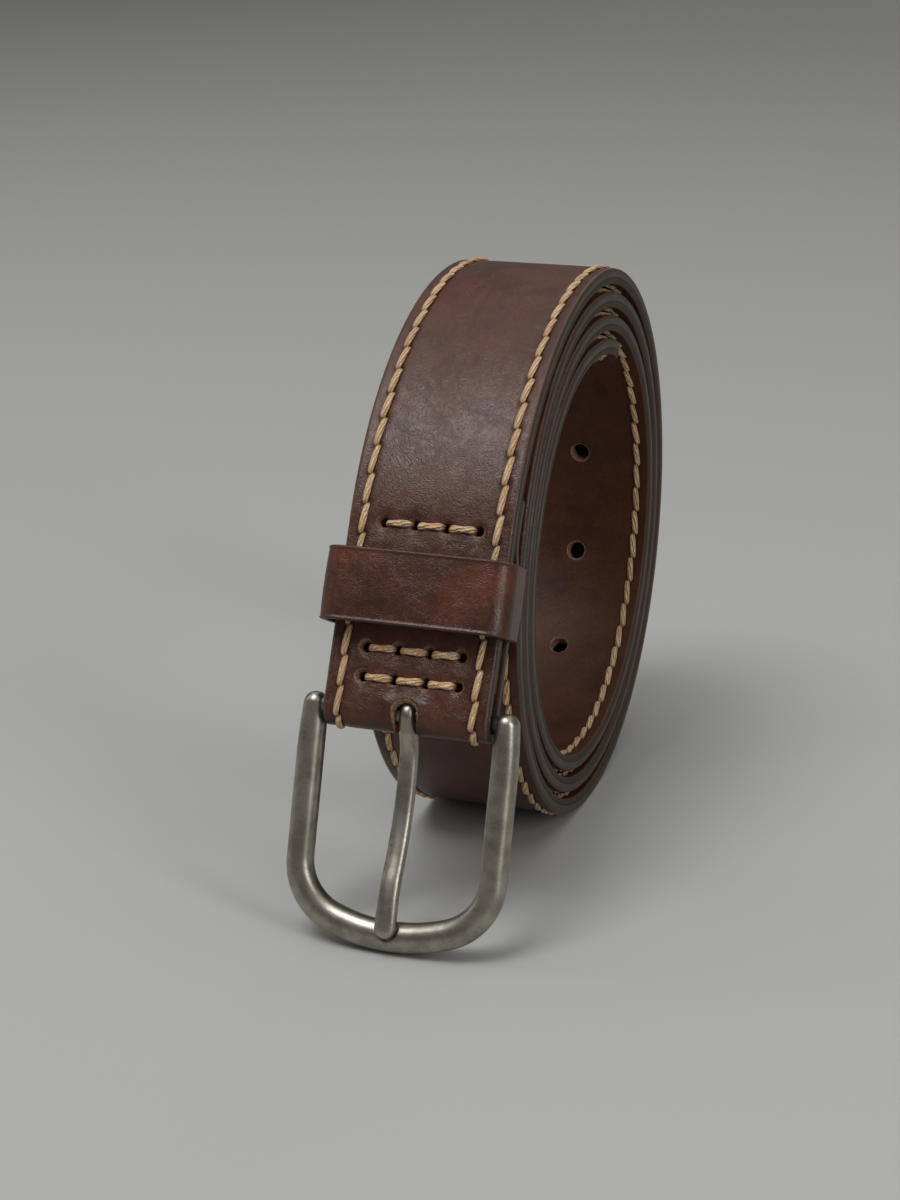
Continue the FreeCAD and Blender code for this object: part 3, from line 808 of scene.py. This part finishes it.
def cut(obj, parts, skin, operation="DIFFERENCE"):
    """Applies a Boolean of a piece with cutters, which keep the material that they are given."""
    tool = make_mesh(obj.name + "_tool", parts)
    tool.data.materials.append(skin)
    modifier = obj.modifiers.new("cut", "BOOLEAN")
    modifier.operation, modifier.solver, modifier.object = operation, "EXACT", tool
    modifier.material_mode = "TRANSFER"
    graph = bpy.context.evaluated_depsgraph_get()
    done = bpy.data.meshes.new_from_object(obj.evaluated_get(graph), depsgraph=graph)
    done.name = obj.name
    obj.modifiers.clear()
    obj.data = done
    bpy.data.objects.remove(tool)
    volume = volume_of(done) / 6 * PER_METRE ** 3
    print(f"{obj.name}: {len(done.polygons)} faces after the cut, volume {volume:.0f} mm3")


# %% Cut the leather
strap_face.data.materials.append(grain_leather)
strap_lining.data.materials.append(lining_leather)
cut(strap_face, row_plugs() + prong_plugs() + slot_cutter(), raw_leather)
cut(strap_lining, row_plugs() + prong_plugs(), raw_leather)

# %% [markdown]
# ## Thread
#
# Saddle-stitch thread is thick waxed linen. Each stitch comes up out of one hole, lies on the leather at a
# slight slant, and goes down into the next. It is a tube whose centre line rises and falls, and whose section
# is a flat oval that thins at the ends. Hundreds of them are alike, so each has only a few dozen faces, and
# the fine twist of the strands is in the material. The nine stitches of the cross rows are larger, so their
# twist is modelled.

# %% Lay stitches on the leather
def on_grain(along, across, lift):
    """Points above the grain side."""
    return np.concatenate([across[..., None], walk(strap, along, -lift)], -1)


def on_lining(along, across, lift):
    """Points above the lining side."""
    return np.concatenate([across[..., None], walk(strap, along, strap_thick + lift)], -1)


def stitches(surface, starts, ends, rows, columns, seed, half_width, half_height, slant, sink, rise,
             plies=0, twists=0):
    """Tubes from hole to hole: the lift is sink + (rise - sink) * (1 - |2t - 1| ** 5), t from end to end."""
    draw = np.random.default_rng(seed)
    vary = draw.normal(0, 1, (4, len(starts), 1, 1))
    t = np.linspace(0, 1, rows)[None, :, None]
    turn = np.linspace(0, 2 * math.pi, columns, endpoint=False)[None, None, :]
    outward = np.abs(2 * t - 1)
    ease = 1 - outward ** 5
    thin = 0.50 + 0.50 * ease
    ply = 1 + 0.13 * np.cos(plies * turn - 2 * math.pi * twists * t + vary[0]) * (plies > 0)
    way = (ends - starts)[:, None, None, :]
    unit = way / np.linalg.norm(way, axis=-1, keepdims=True)
    width = half_width * (1 + 0.05 * vary[2]) * thin * ply
    lateral = (slant + 0.05 * vary[1]) * (2 * t - 1) + width * np.cos(turn)
    lift = sink + (rise - sink + 0.04 * vary[3]) * ease + half_height * thin * ply * np.sin(turn)
    centre = starts[:, None, None, :] + way * t[..., None]
    along = centre[..., 0] + lateral * unit[..., 1]
    across = centre[..., 1] + lateral * unit[..., 0]
    return surface(along, across, lift)


edge_stitch = {"half_width": 0.70, "half_height": 0.48, "slant": 0.36, "sink": -0.46, "rise": 0.14}
cross_stitch = {
    "half_width": 0.70, "half_height": 0.56, "slant": 0.12, "sink": -1.15, "rise": 0.14,
    "plies": 2, "twists": 1.3,
}
stitch_lap = 0.30                  # each edge stitch runs on by this much past the hole that it shares


def edge_row(name, side, surface, row_from, seed):
    """One row of edge stitches, all the way from a starting distance to the tip."""
    along, across = stitch_ends(side, row_from)
    holes = np.stack([along, across], -1)
    lap = np.diff(holes, axis=0) * stitch_lap / stitch_pitch
    tubes = stitches(surface, holes[:-1] - lap, holes[1:] + lap, 9, 8, seed, **edge_stitch)
    return make_mesh(name, [(tubes, None)])


def cross_row(name, height, seed):
    """One thread's three stitches in front, and three more behind on the tab."""
    at = row_distance(height)
    ends = np.stack([np.full(4, at), row_x], -1)
    inset = np.array([0.0, 0.35])
    front = stitches(on_grain, ends[:-1] + inset, ends[1:] - inset, 29, 16, seed, **cross_stitch)
    tab_at = fold_start - height
    back_ends = np.stack([np.full(4, tab_at), row_x], -1)
    back = stitches(on_grain, back_ends[:-1], back_ends[1:], 29, 16, seed + 1, **cross_stitch)
    return make_mesh(name, [(front, None), (back, None)])


sides = {"left": -1, "right": 1}
tab_reach = 46.0
past_tab = hole_phase + stitch_pitch * math.ceil((fold_end + tab_reach - hole_phase) / stitch_pitch)
face_rows_made = {side: edge_row(f"edge_stitches_{side}_grain_side", sign, on_grain, hole_phase, 11 + sign)
                  for side, sign in sides.items()}
lining_rows_made = {side: edge_row(f"edge_stitches_{side}_lining_side", sign, on_lining, past_tab, 21 + sign)
                    for side, sign in sides.items()}
cross_rows_made = {label: cross_row(f"cross_stitches_{label}", height, 31 + 2 * i)
                   for i, (label, height) in enumerate(cross_rows.items())}

# %% [markdown]
# ## Thread material
#
# The thread is straw-coloured and twisted from a few strands. A slanting wave over the stitch's own UVs
# darkens the grooves between the strands with painted shade, and gives them relief. Both ends are darker
# orange-brown, where they dip into the holes.

# %% Waxed thread
thread, tree, shader = material("waxed_thread")
uv = add(tree, "SeparateXYZ", {0: add(tree, "UVMap", uv_map="surface").outputs[0]}).outputs
where = object_mm(tree)
twist = calc(tree, "MULTIPLY_ADD", uv[1], 1.7, calc(tree, "MULTIPLY", uv[0], 5.0))
twist = calc(tree, "MULTIPLY_ADD", noise(tree, where, 0.9, 2.0), 1.2, twist)
strand = calc(tree, "SINE", calc(tree, "MULTIPLY", twist, 2 * math.pi))
fibre = noise(tree, where, 5.0, 3.0, 0.6)
from_middle = calc(tree, "ABSOLUTE", calc(tree, "SUBTRACT", calc(tree, "MULTIPLY", uv[1], 2.0), 1.0))
# the ends are darker orange-brown, where the thread dips into the holes
end_darkening = ramp(tree, calc(tree, "MULTIPLY_ADD", fibre, 0.25, from_middle), 0.93, 1.12)
tone = ramp(tree, noise(tree, where, 0.12, 2.0), 0.35, 0.65)
straw = mixed(tree, tone, colour(0.62, 0.38, 0.20), colour(0.78, 0.53, 0.31))
# painted shade in the grooves between the strands
straw = mixed(tree, ramp(tree, strand, 0.1, -1.0, 0.0, 0.55), straw, colour(0.27, 0.125, 0.045))
straw = mixed(tree, end_darkening, straw, colour(0.200, 0.070, 0.016))
twisted = bumped(tree, calc(tree, "MULTIPLY_ADD", fibre, 0.35, strand), 0.00016)
feed(tree, shader, {"Base Color": straw, "Roughness": 0.62, "Sheen Weight": 0.15, "Normal": twisted})

# %% [markdown]
# ## The keeper
#
# The keeper is a short strap bent into a loop: its own section carried round a small route with tight back
# corners, rounder front corners and a front that bows out a little, because leather springs back. A closing
# sum keeps the route true: the front arc's half chord is the loop's half width less what each corner takes.

# %% Keeper loop
keeper_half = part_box("keeper")[1].x * PER_METRE
keeper_thick = 1.6
keeper_span = (16.7, 31.7)
butt_gap = 0.2
keeper_room = 4.3                  # in front of the strap, for the belt's own tip
keeper_front = -fold_outer - keeper_room - keeper_thick
keeper_back = (strap_thick - face_thick) / 2 + keeper_thick / 2
front_round, back_round, front_bow = 4.8, 1.7, math.radians(4.5)


def keeper_route():
    """Half the back, a side, the bowed front, a side and half the back, with the inside on the right."""
    chord = keeper_half - front_round * (1 - math.sin(front_bow))
    bow_radius = chord / math.sin(front_bow)
    corner = math.pi / 2 - front_bow
    corner_drop = front_round * math.cos(front_bow)
    side = keeper_back - back_round - (keeper_front + corner_drop)
    half_back = keeper_half - back_round - butt_gap / 2
    quarter = back_round * math.pi / 2
    out = [(half_back, 0), (quarter, 1 / back_round), (side, 0), (front_round * corner, 1 / front_round)]
    across_front = [(bow_radius * 2 * front_bow, 1 / bow_radius)]
    made = make_route(0, out + across_front + out[::-1])
    made["points"] += np.array([butt_gap / 2, keeper_back])
    return made


loop = keeper_route()
loop_length = loop["starts"][-1]
keeper_width = keeper_span[1] - keeper_span[0]
band_columns = np.linspace(-keeper_width / 2, keeper_width / 2, 30)
keeper_section = band_section(keeper_width / 2, 0, keeper_thick, 0.55, 0.35, band_columns)


def keeper_relief(distance, across):
    """A faint crown across the band, and slow unevenness along it."""
    crown = -0.18 * (across / (keeper_width / 2)) ** 2
    return crown + 0.8 * unevenness(distance + 40, across * 1.3) - 0.05


def keeper_mesh():
    """The section carried round the loop, with the band's middle at the middle of its span."""
    distance = np.linspace(0, loop_length, 260)[:, None]
    across = keeper_section[None, :, 0]
    shown = (keeper_section[None, :, 1] < 1e-6) * 1.0
    points = walk(loop, distance, keeper_section[None, :, 1] - shown * keeper_relief(distance, across))
    height = np.broadcast_to(across + sum(keeper_span) / 2, points.shape[:2])
    local = np.concatenate([points, height[..., None]], -1)
    around = np.append(keeper_section[:, 0], keeper_section[0, 0])
    uv = np.stack(np.broadcast_arrays(around[None, :], distance), -1) / PER_METRE
    return make_mesh("keeper_loop", [(leaned(local, strap_lean), uv[None])])


keeper = keeper_mesh()
keeper_leather = leather(
    "waxed_keeper_leather",
    dark=colour(0.044, 0.013, 0.006), light=colour(0.092, 0.028, 0.013), red=colour(0.145, 0.034, 0.013),
    half=keeper_width / 2, wrinkle=0.42, rough=0.31, gloss=0.46,
    stitched=False, slant=1.1, red_share=0.85, rim_highlight=0.06, valley_shade_share=0.5,
)

# %% [markdown]
# ## The cast frame
#
# The buckle's frame is a loft between two outlines, the outer and the inner edge, each a route of a bowed
# front bar, a round corner and an arm. At every station the section is a rounded box: domed towards the front
# and flatter behind. The arms end in half-round ears beyond the bar. The front bar is lower in the middle,
# where the prong's tip rests.

# %% Loft between two outlines
def loft(outer, inner, low, high, power_low, power_high, columns):
    """Sections between two rails: |a / half| ** p + |b / reach| ** p = 1, a across and b at right angles."""
    turn = np.linspace(0, 2 * math.pi, columns, endpoint=False)[None, :]
    a, b = np.cos(turn), np.sin(turn)
    power = np.where(b < 0, power_low, power_high)
    reach = np.where(b < 0, low, high)
    a = np.sign(a) * np.abs(a) ** (2 / power)
    b = np.sign(b) * np.abs(b) ** (2 / power) * reach
    middle, half = (outer + inner) / 2, (outer - inner) / 2
    rails = middle[:, None, :] + a[..., None] * half[:, None, :]
    return rails, np.broadcast_to(b, a.shape)


frame_half, frame_inner_half = 23.4, 17.95
frame_length, frame_front_width = 45.1, 6.2
frame_front, frame_back = 2.6, 2.2
front_curve, corner_curve = 40.0, 15.0
arm_bow, bow_start = 112.7, 11.0
ear_radius = 2.45
notch_half, notch_floor = 2.75, 0.85
notch_end = -2.55                  # where its round end is centred, outwards from the bar's middle
notch_edge = 0.35                  # half the width over which its wall rises
front_power, notch_power, back_power = 2.12, 5.32, 3.6
ear_power = 0.36


def half_outline(half, corner, front, length):
    """The +X half of an outline, from the front bar's middle to the arm: route, distances and last z."""
    sine = (half - corner) / (front - corner)
    turn = math.asin(sine)
    route = make_route(0, [(front * turn, -1 / front), (corner * (math.pi / 2 - turn), -1 / corner)])
    route["points"] += np.array([0.0, -length])
    return route, (front * turn, route["starts"][-1]), route["points"][-1][1]


ear_x = frame_inner_half + ear_radius
ear_z = math.sqrt((arm_bow - ear_radius) ** 2 - (ear_x - frame_half + arm_bow) ** 2) - bow_start


def frame_rails():
    """Outer and inner points at matching stations, from the front bar's middle to the end of an ear."""
    shares = np.concatenate([np.linspace(0, 0.3, 30), np.linspace(0.3, 1, 18)[1:]])
    corner_shares = np.linspace(0, 1, 26)[1:]
    arm_shares = np.linspace(0, 1, 34)[1:]
    rails = []
    for half, corner, front, length in (
        (frame_half, corner_curve, front_curve, frame_length + frame_front_width / 2),
        (frame_inner_half, corner_curve - (frame_half - frame_inner_half), front_curve - frame_front_width,
         frame_length - frame_front_width / 2),
    ):
        route, (first, last), z = half_outline(half, corner, front, length)
        distance = np.concatenate([shares * first, first + corner_shares * (last - first)])
        bar = walk(route, distance, np.zeros_like(distance))
        arm_z = z + arm_shares * (ear_z - z)
        rise = np.clip(arm_z + bow_start, 0, None)
        bowed = half - arm_bow + np.sqrt(arm_bow ** 2 - rise ** 2)
        arm_x = bowed if half == frame_half else np.full_like(arm_z, half)
        turn = np.radians(np.linspace(0, 88, 16)[1:])
        sign = 1 if half == frame_half else -1
        cap = np.stack([ear_x + sign * ear_radius * np.cos(turn), ear_z + ear_radius * np.sin(turn)], -1)
        rails.append(np.concatenate([bar, np.stack([arm_x, arm_z], -1), cap]))
    return rails


def frame_mesh():
    """Both halves as one loft from ear to ear, tapering over each ear, joined with the round bar."""
    outer, inner = frame_rails()
    over_ear = np.clip((inner[:, 1] - ear_z) / ear_radius, 0, 1)
    taper = np.maximum(1 - over_ear ** 2, 0) ** ear_power
    mirror = np.array([-1, 1])
    both = [np.concatenate([rail[:0:-1] * mirror, rail]) for rail in (outer, inner)]
    taper = np.concatenate([taper[:0:-1], taper])[:, None]
    columns = 64
    outward = frame_front_width / 2 * np.cos(np.linspace(0, 2 * math.pi, columns, endpoint=False))[None, :]
    from_notch = np.hypot(both[0][:, :1], np.maximum(outward - notch_end, 0))
    clear = np.clip((from_notch - notch_half + notch_edge) / (2 * notch_edge), 0, 1)
    notched = 1 - clear * clear * (3 - 2 * clear)
    low = (frame_front - (frame_front - notch_floor) * notched) * taper
    power = front_power + (notch_power - front_power) * notched
    rails, behind = loft(both[0], both[1], low, frame_back * taper, power, back_power, columns)
    local = np.stack([rails[..., 0], behind, rails[..., 1]], -1)
    made = make_mesh("cast_frame", [(leaned(local, frame_lean), None)])
    ends = frame_inner_half + 1.2
    bar = plug((-ends, bar_y, bar_z), (1, 0, 0), [(0, bar_radius), (2 * ends, bar_radius)], 48)
    made.data.materials.append(metal)
    cut(made, [(bar, None)], metal, "UNION")
    made.data.shade_smooth()
    return made


edge_round = 0.8
frame_reach = math.hypot(frame_length + frame_front_width / 2 - edge_round, frame_back - edge_round)
frame_lean = math.degrees(
    math.atan2(frame_back - edge_round, frame_length + frame_front_width / 2 - edge_round)
    + math.acos((bar_z - edge_round) / frame_reach)
)
print(f"the frame leans {frame_lean:.2f} degrees, so that its front bar touches the floor")

# %% [markdown]
# ## Antique nickel
#
# The buckle is cast, plated and rubbed back, so it is bright on the high places and darker, with fine specks,
# where the patina stays. A group gives a slow cloud, a speckle and a height. Metal shows its finish through
# roughness as much as colour, so both follow the same masks.

# %% Metal group and material
patina, g_in, g_out = group(
    "metal_patina", {"Place": VECTOR, "Size": ("Float", 1.0)},
    {"Cloud": "Float", "Speck": "Float", "Height": "Float"},
)
sized = scaled(patina, g_in.outputs["Place"], g_in.outputs["Size"])
cloud = noise(patina, sized, 0.22, 4.0, 0.6)
speck = noise(patina, sized, 2.4, 5.0, 0.72)
feed(patina, g_out, {
    "Cloud": ramp(patina, cloud, 0.38, 0.64),
    "Speck": ramp(patina, speck, 0.50, 0.70),
    "Height": calc(patina, "MULTIPLY_ADD", speck, 0.6, cloud),
})

metal, tree, shader = material("antique_nickel")
worn = place(tree, patina, {"Place": object_mm(tree), "Size": 1.0})
tarnish = calc(tree, "MULTIPLY", worn["Speck"], calc(tree, "MULTIPLY_ADD", worn["Cloud"], 0.45, 0.20))
plate = mixed(tree, worn["Cloud"], colour(0.41, 0.385, 0.335), colour(0.29, 0.268, 0.228))
feed(tree, shader, {
    "Base Color": mixed(tree, tarnish, plate, colour(0.13, 0.12, 0.10)),
    "Roughness": calc(tree, "MULTIPLY_ADD", tarnish, 0.25, 0.36),
    "Metallic": 1.0,
    "Normal": bumped(tree, worn["Height"], 0.00004),
})

cast_frame = frame_mesh()

# %% [markdown]
# ## The prong
#
# The prong is one casting: a ring that turns on the bar, and a blade that leaves it, dips behind the frame
# and comes forward over the front bar. In side view it is a closed outline, so it is also a loft, between a
# front rail and a back rail. The rails follow the ring's circle, ease into the blade through a smooth cubic
# curve, and close round the tip. The bore is cut out afterwards.

# %% Prong rails
prong_half = 2.0
prong_thick = 2.9
ring_radius, bore_radius = 3.3, 2.0
blade_start, blade_heading = (1.4, -2.6), -86.0
blade_rows = 70
front_neck, back_neck = 7.0, 2.4          # down the blade, where each rail has left the ring
prong_flare = (0.97, 1.06)                # shares of the half width at the root and at the tip
ring_power, blade_power = 2.5, 2.35
blade_pieces = [(6.8, 0), (55 * math.radians(24), 1 / 55), (25 * math.radians(16), -1 / 25), (6.3, 0)]


def eased(first, first_way, last, last_way, count=12):
    """A cubic curve from one point and direction to another, without its first point."""
    t = np.linspace(0, 1, count + 1)[1:, None]
    first, first_way, last, last_way = (np.array(p, float) for p in (first, first_way, last, last_way))
    return ((2 * t ** 3 - 3 * t ** 2 + 1) * first + (t ** 3 - 2 * t ** 2 + t) * first_way
            + (3 * t ** 2 - 2 * t ** 3) * last + (t ** 3 - t ** 2) * last_way)


def prong_mesh():
    """The loft of ring, neck and blade, with its half width narrowing round the tip."""
    blade = make_route(blade_heading, blade_pieces)
    blade["points"] += np.array(blade_start)
    end = blade["starts"][-1]
    tip = np.radians(np.linspace(0, 86, 14)[1:])
    last = end - prong_half
    rounding = last + prong_half * np.sin(tip)
    distance = np.concatenate([np.linspace(back_neck, last, blade_rows), rounding])
    narrow = np.concatenate([np.ones(blade_rows), np.cos(tip)])
    swell = 1 + 0.05 * np.exp(-((distance - end + 4.0) / 3.0) ** 2)
    half_thick = prong_thick / 2 * narrow ** 0.55 * swell
    rails = []
    for side, last_turn, neck in ((1, 98, front_neck), (-1, 128, back_neck)):
        turn = np.radians(np.linspace(4, last_turn, 30))
        distance = np.concatenate([np.linspace(neck, last, blade_rows), rounding])
        angle = math.pi / 2 + side * turn
        circle = ring_radius * np.stack([np.cos(angle), np.sin(angle)], -1)
        flat = walk(blade, distance, side * half_thick)
        gap = np.linalg.norm(flat[0] - circle[-1])
        leave = side * np.array([-math.sin(angle[-1]), math.cos(angle[-1])]) * gap
        arrive = (flat[1] - flat[0]) / np.linalg.norm(flat[1] - flat[0]) * gap
        rails.append(np.concatenate([circle, eased(circle[-1], leave, flat[0], arrive)[:-1], flat]))
    count = len(rails[0]) - len(narrow)
    at_root, at_tip = prong_flare
    flare = np.concatenate([np.linspace(at_root, at_tip, blade_rows), np.full(len(tip), at_tip)])
    wide = np.concatenate([np.full(count, at_root * prong_half), prong_half * narrow * swell * flare])
    easing = np.linspace(ring_power, blade_power, count - len(turn))
    power = np.concatenate([np.full(len(turn), ring_power), easing, np.full(len(narrow), blade_power)])
    wide, power = wide[:, None], power[:, None]
    section, across = loft(rails[0], rails[1], wide, wide, power, power, 40)
    local = np.stack([across, section[..., 0], section[..., 1]], -1)
    made = make_mesh("prong_blade", [(leaned(local, frame_lean), None)])
    made.data.materials.append(metal)
    cut(made, [(plug((-5, bar_y, bar_z), (1, 0, 0), [(0, bore_radius), (10, bore_radius)], 40), None)], metal)
    made.data.shade_smooth()
    return made


prong = prong_mesh()

# %% [markdown]
# ## Ride, replace and finish
#
# Each piece rides on its CAD body, takes the place of its plain CAD node, and gets its material if one is
# given. The keeper's staple is a CAD node whose shape is right, so it stays and only gets its steel.

# %% Dress every piece
dress(strap_face, "strap", ["strap_face"], None)
dress(strap_lining, "strap", ["strap_lining"], None)
for side in ("left", "right"):
    dress(face_rows_made[side], "strap", [f"face_thread_{side}"], thread)
    dress(lining_rows_made[side], "strap", [f"lining_thread_{side}"], thread)
for label, obj in cross_rows_made.items():
    dress(obj, "strap", [f"cross_stitch_{label}"], thread)
dress(keeper, "keeper_loop", ["keeper"], keeper_leather)
dress(cast_frame, "frame", ["buckle_frame"], metal)
dress(prong, "pin", ["prong"], metal)

steel, tree, shader = material("staple_steel")
worn = place(tree, patina, {"Place": object_mm(tree), "Size": 2.0})
feed(tree, shader, {
    "Base Color": mixed(tree, worn["Cloud"], colour(0.56, 0.56, 0.57), colour(0.45, 0.45, 0.46)),
    "Roughness": calc(tree, "MULTIPLY_ADD", worn["Speck"], 0.2, 0.28),
    "Metallic": 1.0,
})
staple = frame["nodes"]["keeper_staple"]
staple.data.materials.clear()
staple.data.materials.append(steel)

# %% [markdown]
# ## Floor, light and camera
#
# A plain pale floor runs far past the belt. Five soft studio lights stand round it: a key high in front on
# the left for the sheen on the leather, one on each side for the long highlights on the metal, a wide one
# overhead that softens the shadows, and one for the floor behind. The world adds a little even light, so that
# nothing is black.

# %% Floor
floor_material, tree, shader = material("plain_floor")
feed(tree, shader, {"Base Color": colour(0.395, 0.395, 0.375), "Roughness": 0.95})
floor_mesh = bpy.data.meshes.new("floor")
reach = 6.0
corners = [(-reach, -reach, 0), (reach, -reach, 0), (reach, reach, 0), (-reach, reach, 0)]
floor_mesh.from_pydata(corners, [], [(0, 1, 2, 3)])
floor_mesh.materials.append(floor_material)
floor = bpy.data.objects.new("floor", floor_mesh)
bpy.context.scene.collection.objects.link(floor)


# %% Lights
def softbox(name, target, azimuth, elevation, distance, size, power):
    """An area light that looks at a target from a compass angle and height, both in degrees."""
    light = bpy.data.lights.new(name, "AREA")
    light.shape, light.size, light.size_y = "RECTANGLE", size[0], size[1]
    light.energy = power
    obj = bpy.data.objects.new(name, light)
    a, e = math.radians(azimuth), math.radians(elevation)
    obj.location = (
        target[0] + distance * math.cos(e) * math.sin(a),
        target[1] - distance * math.cos(e) * math.cos(a),
        target[2] + distance * math.sin(e),
    )
    obj.rotation_euler = (math.pi / 2 - e, 0, a)
    bpy.context.scene.collection.objects.link(obj)


middle = (0.0, 0.0, 0.06)
softbox("key_high_front_left", middle, -28, 64, 1.6, (0.60, 0.85), 12.8)
softbox("side_right", middle, 60, 24, 1.2, (0.28, 0.7), 4.0)
softbox("side_left", middle, -84, 28, 1.3, (0.4, 0.9), 1.2)
softbox("overhead", (0.0, -0.1, 0.0), 180, 86, 1.9, (2.8, 2.8), 19.0)
softbox("backdrop", (0.0, 3.0, 0.0), 180, 88, 1.9, (1.6, 1.2), 8.0)
world = bpy.data.worlds.new("studio")
world.use_nodes = True
world.node_tree.nodes["Background"].inputs[0].default_value = colour(1.0, 0.97, 0.93)
world.node_tree.nodes["Background"].inputs[1].default_value = 0.125
bpy.context.scene.world = world

# %% Camera
camera_data = bpy.data.cameras.new("camera")
camera_data.sensor_fit = "VERTICAL"
camera_data.sensor_height = 36.0
camera_data.sensor_width = 27.0
camera_data.lens = 70.0
camera_data.clip_start, camera_data.clip_end = 0.01, 50.0
camera = bpy.data.objects.new("camera", camera_data)
camera.location = (0.14759, -0.47400, 0.21725)
camera.rotation_euler = (math.radians(90 - 18.509), 0, math.radians(18.655))
bpy.context.scene.collection.objects.link(camera)
bpy.context.scene.camera = camera
bpy.context.scene.view_settings.view_transform = "Standard"
